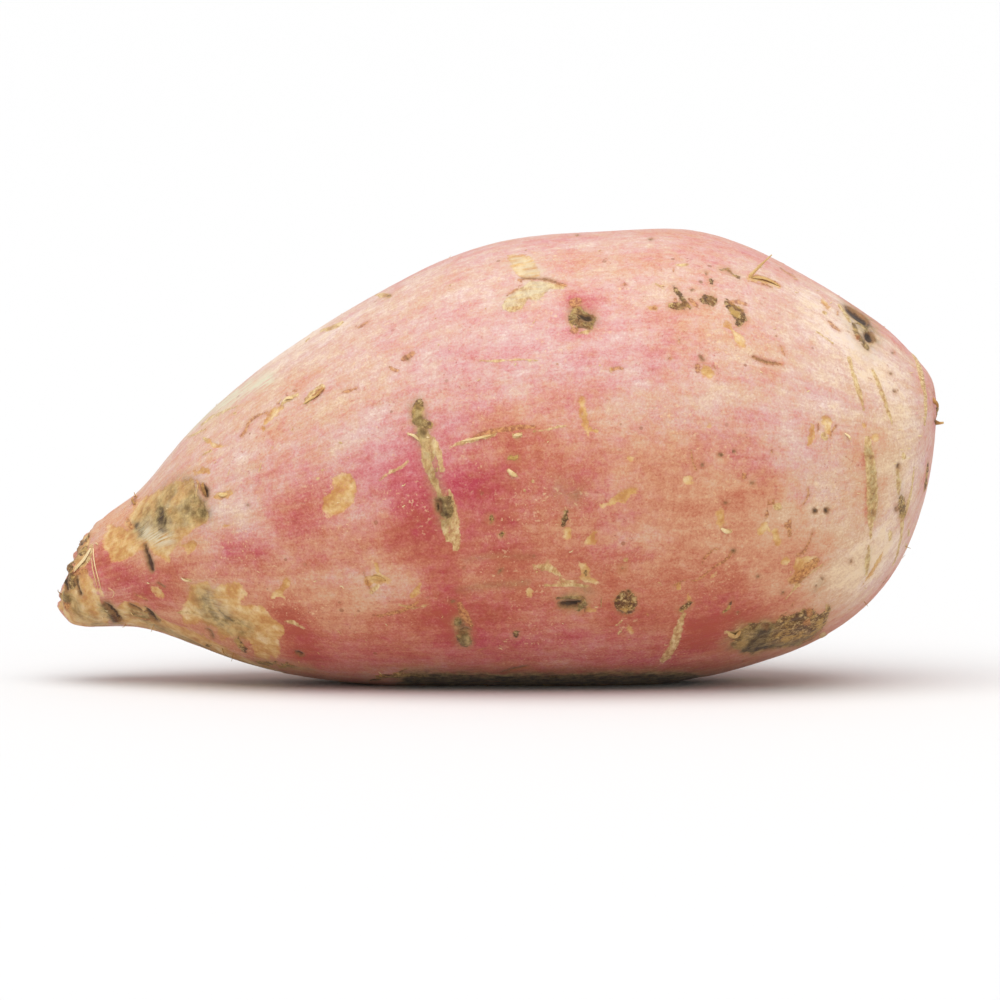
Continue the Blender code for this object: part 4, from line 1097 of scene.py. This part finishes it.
# Hollows: brown at the rim and inside, with painted shade that darkens them to nearly black at the bottom.
HOLLOW_AND_SHADE_TONES = ((30, 20, 14), (62, 42, 26), (118, 84, 50), (150, 112, 72))
pit_edge, pit_cover = shape_of("pit", 0.45, 0.35, 0.24)
rim = eased(pit_edge, 0.0, 0.8, 0.35, 0.0)
colour = blend(rim, colour, paint(166, 104, 62))
hollow_and_shade = colours(eased(pit_edge, -0.62, -0.02), HOLLOW_AND_SHADE_TONES)
colour = blend(math("MULTIPLY", pit_cover, 0.86), colour, hollow_and_shade)

# Fine relief: skin grain, creases across the root, crumbling scabs, and the edge where skin stops.
creases = speckle(grown, (0.7, 7.0, 7.0), 2.0, 0.6)
crumbling = math("MULTIPLY", cork_cover, crumbs)
papery = math("MULTIPLY", scar_cover, across)
height = 0.0
for pattern, rise in (
    (grain, 0.10), (streaks, 0.16), (creases, 0.07), (blotches, 0.10),
    (crumbling, 0.30), (papery, 0.12), (bare_cover, -0.05), (pit_cover, -0.25),
):
    height = math("MULTIPLY_ADD", pattern, rise, height)
bump = node("ShaderNodeBump", {"Strength": 0.8, "Distance": MM, "Height": height})
tree.links.new(bump.outputs[0], shader.inputs["Normal"])
tree.links.new(colour, shader.inputs["Base Color"])
dry_places = math("MAXIMUM", cork_cover, math("MAXIMUM", bare_cover, scar_cover))
roughness = math("MULTIPLY_ADD", dry_places, 0.22, eased(clouds, 0.3, 0.7, 0.52, 0.64))
tree.links.new(roughness, shader.inputs["Roughness"])
shader.inputs["Specular IOR Level"].default_value = 0.3
shader.inputs["Sheen Weight"].default_value = 0.12
shader.inputs["Sheen Roughness"].default_value = 0.5
skin.data.materials.append(finish)
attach(skin, "root")
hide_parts("sweet_potato")

# ---------------------------------------------------------------------------------------------
# Rootlets, torn fibres and loose flakes.
# Dry bits that stand off the skin: papery flakes along the scars, stringy fibres where the neck tore
# off the vine, hairs of feeding roots, and the stub of the tail. Each is a thin closed strand.

STRAND_SIDES, STRAND_RINGS = 8, 9
FLAKE_THICK, TUCKED_IN = 0.05, 0.12
# Each flake or fibre: how dark, from cream 0 to bark 1, then places seen from the front with half the
# width there and how far it stands off the skin.
FLAKES = (
    (0.25, (-35.4, 50.2, 0.15, 0.1), (-34.2, 51.0, 0.3, 0.3), (-32.6, 51.9, 0.15, 0.1)),
    (0.05, (-39.2, 50.6, 0.15, 0.1), (-38.2, 51.2, 0.35, 0.3), (-37.2, 51.2, 0.15, 0.1)),
    (0.40, (-33.6, 51.0, 0.1, 0.3), (-32.4, 52.0, 0.22, 0.6), (-31.6, 53.0, 0.1, 0.3)),
    (0.10, (1.5, 38.4, 0.2, 0.1), (2.2, 37.7, 0.4, 0.5), (3.0, 37.2, 0.2, 0.1)),
    (0.00, (62.1, 44.9, 0.12, 0.1), (62.6, 44.2, 0.25, 0.7), (62.9, 43.8, 0.1, 0.2)),
    (0.05, (39.8, 27.8, 0.2, 0.1), (40.6, 27.4, 0.4, 0.5), (41.5, 27.1, 0.2, 0.1)),
    (0.30, (40.8, 9.2, 0.3, 0.1), (42.2, 8.6, 0.6, 0.5), (43.2, 9.4, 0.3, 0.2)),
    (0.05, (-16.6, 44.8, 0.1, 0.1), (-15.4, 44.4, 0.25, 0.5), (-14.6, 43.6, 0.1, 0.1)),
    (0.00, (-57.4, 18.9, 0.1, 0.1), (-56.6, 18.6, 0.2, 0.5), (-55.8, 18.3, 0.1, 0.1)),
    (0.30, (44.8, 73.0, 0.2, 0.1), (47.6, 72.6, 0.5, 0.4), (50.4, 71.4, 0.25, 0.1)),
    (0.15, (-7.0, 43.5, 0.1, 0.1), (-4.0, 44.0, 0.22, 0.4), (-1.6, 44.6, 0.1, 0.1)),
    (0.10, (2.4, 44.5, 0.1, 0.1), (3.2, 44.6, 0.3, 0.4), (4.0, 44.7, 0.1, 0.1)),
    (0.50, (-65.6, 33.6, 0.1, 0.1), (-65.9, 32.8, 0.25, 0.6), (-65.6, 32.0, 0.1, 0.1)),
    (0.55, (-53.6, 36.0, 0.2, 0.1), (-53.1, 34.9, 0.4, 0.7), (-52.9, 33.6, 0.2, 0.2)),
    (0.15, (-50.6, 34.0, 0.2, 0.1), (-49.8, 33.8, 0.4, 0.4), (-49.0, 34.0, 0.2, 0.1)),
    (0.35, (-23.4, 18.6, 0.2, 0.1), (-22.2, 19.0, 0.4, 0.3), (-20.6, 18.4, 0.2, 0.1)),
    # the neck's torn rim
    (0.02, (-73.4, 24.9, 0.3, 0.1), (-74.6, 22.4, 0.45, 0.3), (-76.0, 20.8, 0.4, 0.3),
     (-77.9, 18.2, 0.25, 0.1)),
)
FIBRES = (
    (0.05, (-73.2, 24.2, 0.1, 0.1), (-72.8, 21.4, 0.1, 0.4), (-72.1, 18.4, 0.08, 0.3),
     (-71.8, 16.6, 0.05, 0.1)),
    (0.15, (-73.5, 22.4, 0.08, 0.1), (-73.1, 20.0, 0.1, 0.3), (-72.6, 18.0, 0.06, 0.2),
     (-72.4, 16.4, 0.04, 0.1)),
    (0.10, (-69.8, 15.4, 0.06, 0.1), (-69.2, 16.6, 0.05, 0.8), (-70.0, 17.4, 0.04, 1.2)),
)
# Hairs and stubs: how dark, the place on the skin, how far the tip lies to the right, up and towards
# the looker, and half the width at the base.
HAIRS = (
    (0.5, (-50.0, 6.2), (0.8, -1.2, 0.1), 0.10), (0.5, (-47.9, 5.4), (-0.4, -1.5, 0.1), 0.10),
    (0.4, (-62.3, 10.4), (-0.5, -1.2, 0.1), 0.09), (0.4, (-67.3, 10.6), (-0.8, -0.5, 0.3), 0.09),
    (0.6, (-79.0, 16.0), (-0.5, 0.8, 0.2), 0.12), (0.4, (-65.4, 33.4), (-0.4, 0.9, 0.0), 0.12),
    (0.5, (65.6, 14.6), (0.6, -0.8, 0.2), 0.08), (0.5, (78.0, 50.8), (0.8, -1.2, 0.3), 0.45),
    (0.5, (73.0, 24.6), (0.9, -0.4, 0.2), 0.08), (0.25, (45.0, 73.2), (3.9, 3.8, 0.4), 0.32),
)
TAIL_STUB = ((76.6, -0.4, 47.4), (78.0, -0.5, 47.1), (79.0, -0.5, 46.9), (79.8, -0.6, 47.0))
TAIL_STUB_HALF = (0.9, 0.7, 0.35, 0.25)
STREWN_COUNT, STREWN_LENGTH, STREWN_HALF = 45, 0.8, 0.11
STREWN_LIFT, STREWN_THICK = 0.18, 0.03
THINNEST_HALF = 0.03                  # half the width below which no strand tapers
HAIR_ROOTED, HAIR_BOW = 0.2, 0.25     # the share of a hair inside the skin, and how far it bows


def drawn_out(values):
    """A row of values at the given places, carried smoothly to every ring of a strand."""
    values = np.array(values, float)
    at = np.linspace(0, len(values) - 1, STRAND_RINGS)
    return spline(np.arange(len(values), dtype=float), values, at)


def strand(path, halves, thicks, up):
    """A flat tube: round the path an ellipse, half the width across it and half the thickness along
    the way up, tapered to a pole at each end."""
    along = np.gradient(path, axis=0)
    along /= np.linalg.norm(along, axis=1, keepdims=True)
    across = np.cross(up, along)
    across /= np.linalg.norm(across, axis=1, keepdims=True)
    lift = np.cross(along, across)
    bow = np.linspace(0, 2 * np.pi, STRAND_SIDES, endpoint=False)[None, :, None]
    rings = path[:, None] + np.cos(bow) * (halves[:, None] * across)[:, None]
    rings = rings + np.sin(bow) * (thicks[:, None] * lift)[:, None]
    return np.concatenate([rings.reshape(-1, 3), path[:1], path[-1:]])


strands, darkness = [], []


def add_strand(dark, path, halves, thicks, up, darker=0.15):
    """Keep a strand and how dark it is, growing darker towards its far end."""
    strands.append(strand(path, halves, thicks, up))
    shade = np.repeat(dark + darker * np.linspace(0, 1, len(path)), STRAND_SIDES)
    darkness.append(np.concatenate([shade, [dark, dark + darker]]))


strewn = [
    (0.08 * place, side, [(*spot, STREWN_LIFT * turn) for turn, spot in enumerate(stroke)])
    for place, side in enumerate(("front", "back", "top", "under"))
    for stroke in scatter(side, STREWN_COUNT, STREWN_LENGTH, STREWN_HALF, 60 + place)
]
for group, thick in (
    ([(dark, "front", places) for dark, *places in FLAKES], FLAKE_THICK),
    ([(dark, "front", places) for dark, *places in FIBRES], None),
    (strewn, STREWN_THICK),
):
    for dark, side, places in group:
        rows = drawn_out(places)
        base, up = on_skin(side, rows[:, :2])
        halves = np.maximum(rows[:, 2], THINNEST_HALF)
        thicks = halves if thick is None else np.full(len(rows), thick)
        add_strand(dark, base + up * (rows[:, 3:4] - TUCKED_IN), halves, thicks, up)

for dark, place, tip, half in HAIRS:
    base, up = on_skin("front", np.array([place]))
    run = np.linspace(-HAIR_ROOTED, 1, STRAND_RINGS)[:, None]
    path = base + run * (np.array(tip) @ SIDES["front"]) + HAIR_BOW * np.sin(3 * run) * up
    halves = half * (1.1 - 0.8 * np.linspace(0, 1, STRAND_RINGS))
    add_strand(dark, path, halves, halves, np.tile(up, (STRAND_RINGS, 1)))

stub_half = drawn_out(np.array(TAIL_STUB_HALF)[:, None])[:, 0]
upward = np.tile([0.0, 0.0, 1.0], (STRAND_RINGS, 1))
add_strand(0.95, drawn_out(TAIL_STUB), stub_half, 0.8 * stub_half, upward, darker=-0.6)

each = len(strands[0])
one_strand = grid_faces(STRAND_RINGS, STRAND_SIDES)
faces = [group + each * number for number in range(len(strands)) for group in one_strand]
flakes = make_piece("flakes_and_rootlets", np.concatenate(strands), faces)
flakes.data.attributes.new("dark", "FLOAT", "POINT").data.foreach_set("value", np.concatenate(darkness))

DRY_TONES = ((236, 214, 170), (224, 190, 130), (196, 148, 88), (136, 96, 56), (70, 48, 30))
dry_finish = bpy.data.materials.new("dry_flakes")
dry_finish.use_nodes = True
tree = dry_finish.node_tree
shader = tree.nodes["Principled BSDF"]
in_metres = node("ShaderNodeTexCoord", {}).outputs["Object"]
here = node("ShaderNodeMapping", {"Vector": in_metres, "Scale": (1 / MM,) * 3}).outputs[0]
mottle = speckle(here, 0.5, 2.0, 0.7)
tone = sway(attribute("dark").outputs["Fac"], mottle, 0.5)
tree.links.new(colours(tone, DRY_TONES), shader.inputs["Base Color"])
bump = node("ShaderNodeBump", {"Strength": 0.6, "Distance": 0.1 * MM, "Height": mottle})
tree.links.new(bump.outputs[0], shader.inputs["Normal"])
shader.inputs["Roughness"].default_value = 0.75
shader.inputs["Specular IOR Level"].default_value = 0.25
flakes.data.materials.append(dry_finish)
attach(flakes, "root")

# ---------------------------------------------------------------------------------------------
# The table, the light and the camera.
# A plain white table, far wider than what the camera sees, under one broad soft light from above.
# The room is white all round, and as bright as the table below the horizon, so no edge shows.

FLOOR_HALF = 60.0                          # metres
TABLE_WHITE, TABLE_ROUGHNESS = 0.8, 0.8
ROOM_ABOVE, ROOM_BELOW = 0.55, 1.1         # how bright the room is above and below the horizon
LIGHT_STRENGTH = 2.4
LIGHT_SPREAD, LIGHT_TILT = np.radians(75), np.radians(16)
LENS = 480                                 # millimetres, on a sensor 36 mm wide
floor_mesh = bpy.data.meshes.new("table_top")
corners = [(-1, -1, 0), (1, -1, 0), (1, 1, 0), (-1, 1, 0)]
floor_mesh.from_pydata([tuple(FLOOR_HALF * c for c in corner) for corner in corners], [], [(0, 1, 2, 3)])
floor = bpy.data.objects.new("table_top", floor_mesh)
bpy.context.scene.collection.objects.link(floor)
paper_white = bpy.data.materials.new("white_paper")
paper_white.use_nodes = True
table_shader = paper_white.node_tree.nodes["Principled BSDF"]
table_shader.inputs["Base Color"].default_value = (TABLE_WHITE, TABLE_WHITE, TABLE_WHITE, 1)
table_shader.inputs["Roughness"].default_value = TABLE_ROUGHNESS
floor_mesh.materials.append(paper_white)

world = bpy.data.worlds.new("white_room")
world.use_nodes = True
world.node_tree.nodes["Background"].inputs["Color"].default_value = (1, 1, 1, 1)
tree = world.node_tree
direction = node("ShaderNodeTexCoord", {}).outputs["Generated"]
rise = node("ShaderNodeSeparateXYZ", {"Vector": direction}).outputs["Z"]
brightness = eased(rise, -0.001, 0.0, ROOM_BELOW, ROOM_ABOVE)
tree.links.new(brightness, tree.nodes["Background"].inputs["Strength"])
bpy.context.scene.world = world

sky = bpy.data.lights.new("overhead_light", "SUN")
sky.energy, sky.angle = LIGHT_STRENGTH, LIGHT_SPREAD
sky_holder = bpy.data.objects.new("overhead_light", sky)
bpy.context.scene.collection.objects.link(sky_holder)
sky_holder.rotation_euler = (LIGHT_TILT, 0, 0)

eye = bpy.data.cameras.new("eye")
eye.lens = LENS
eye.clip_start, eye.clip_end = 0.05, 200
viewer = bpy.data.objects.new("eye", eye)
bpy.context.scene.collection.objects.link(viewer)
viewer.location = Vector((EYE_AIM + EYE_DISTANCE * SIDES["front"][2]) * MM)
viewer.rotation_euler = (np.pi / 2 - EYE_LIFT, 0, 0)
bpy.context.scene.camera = viewer
bpy.context.scene.view_settings.view_transform = "Standard"
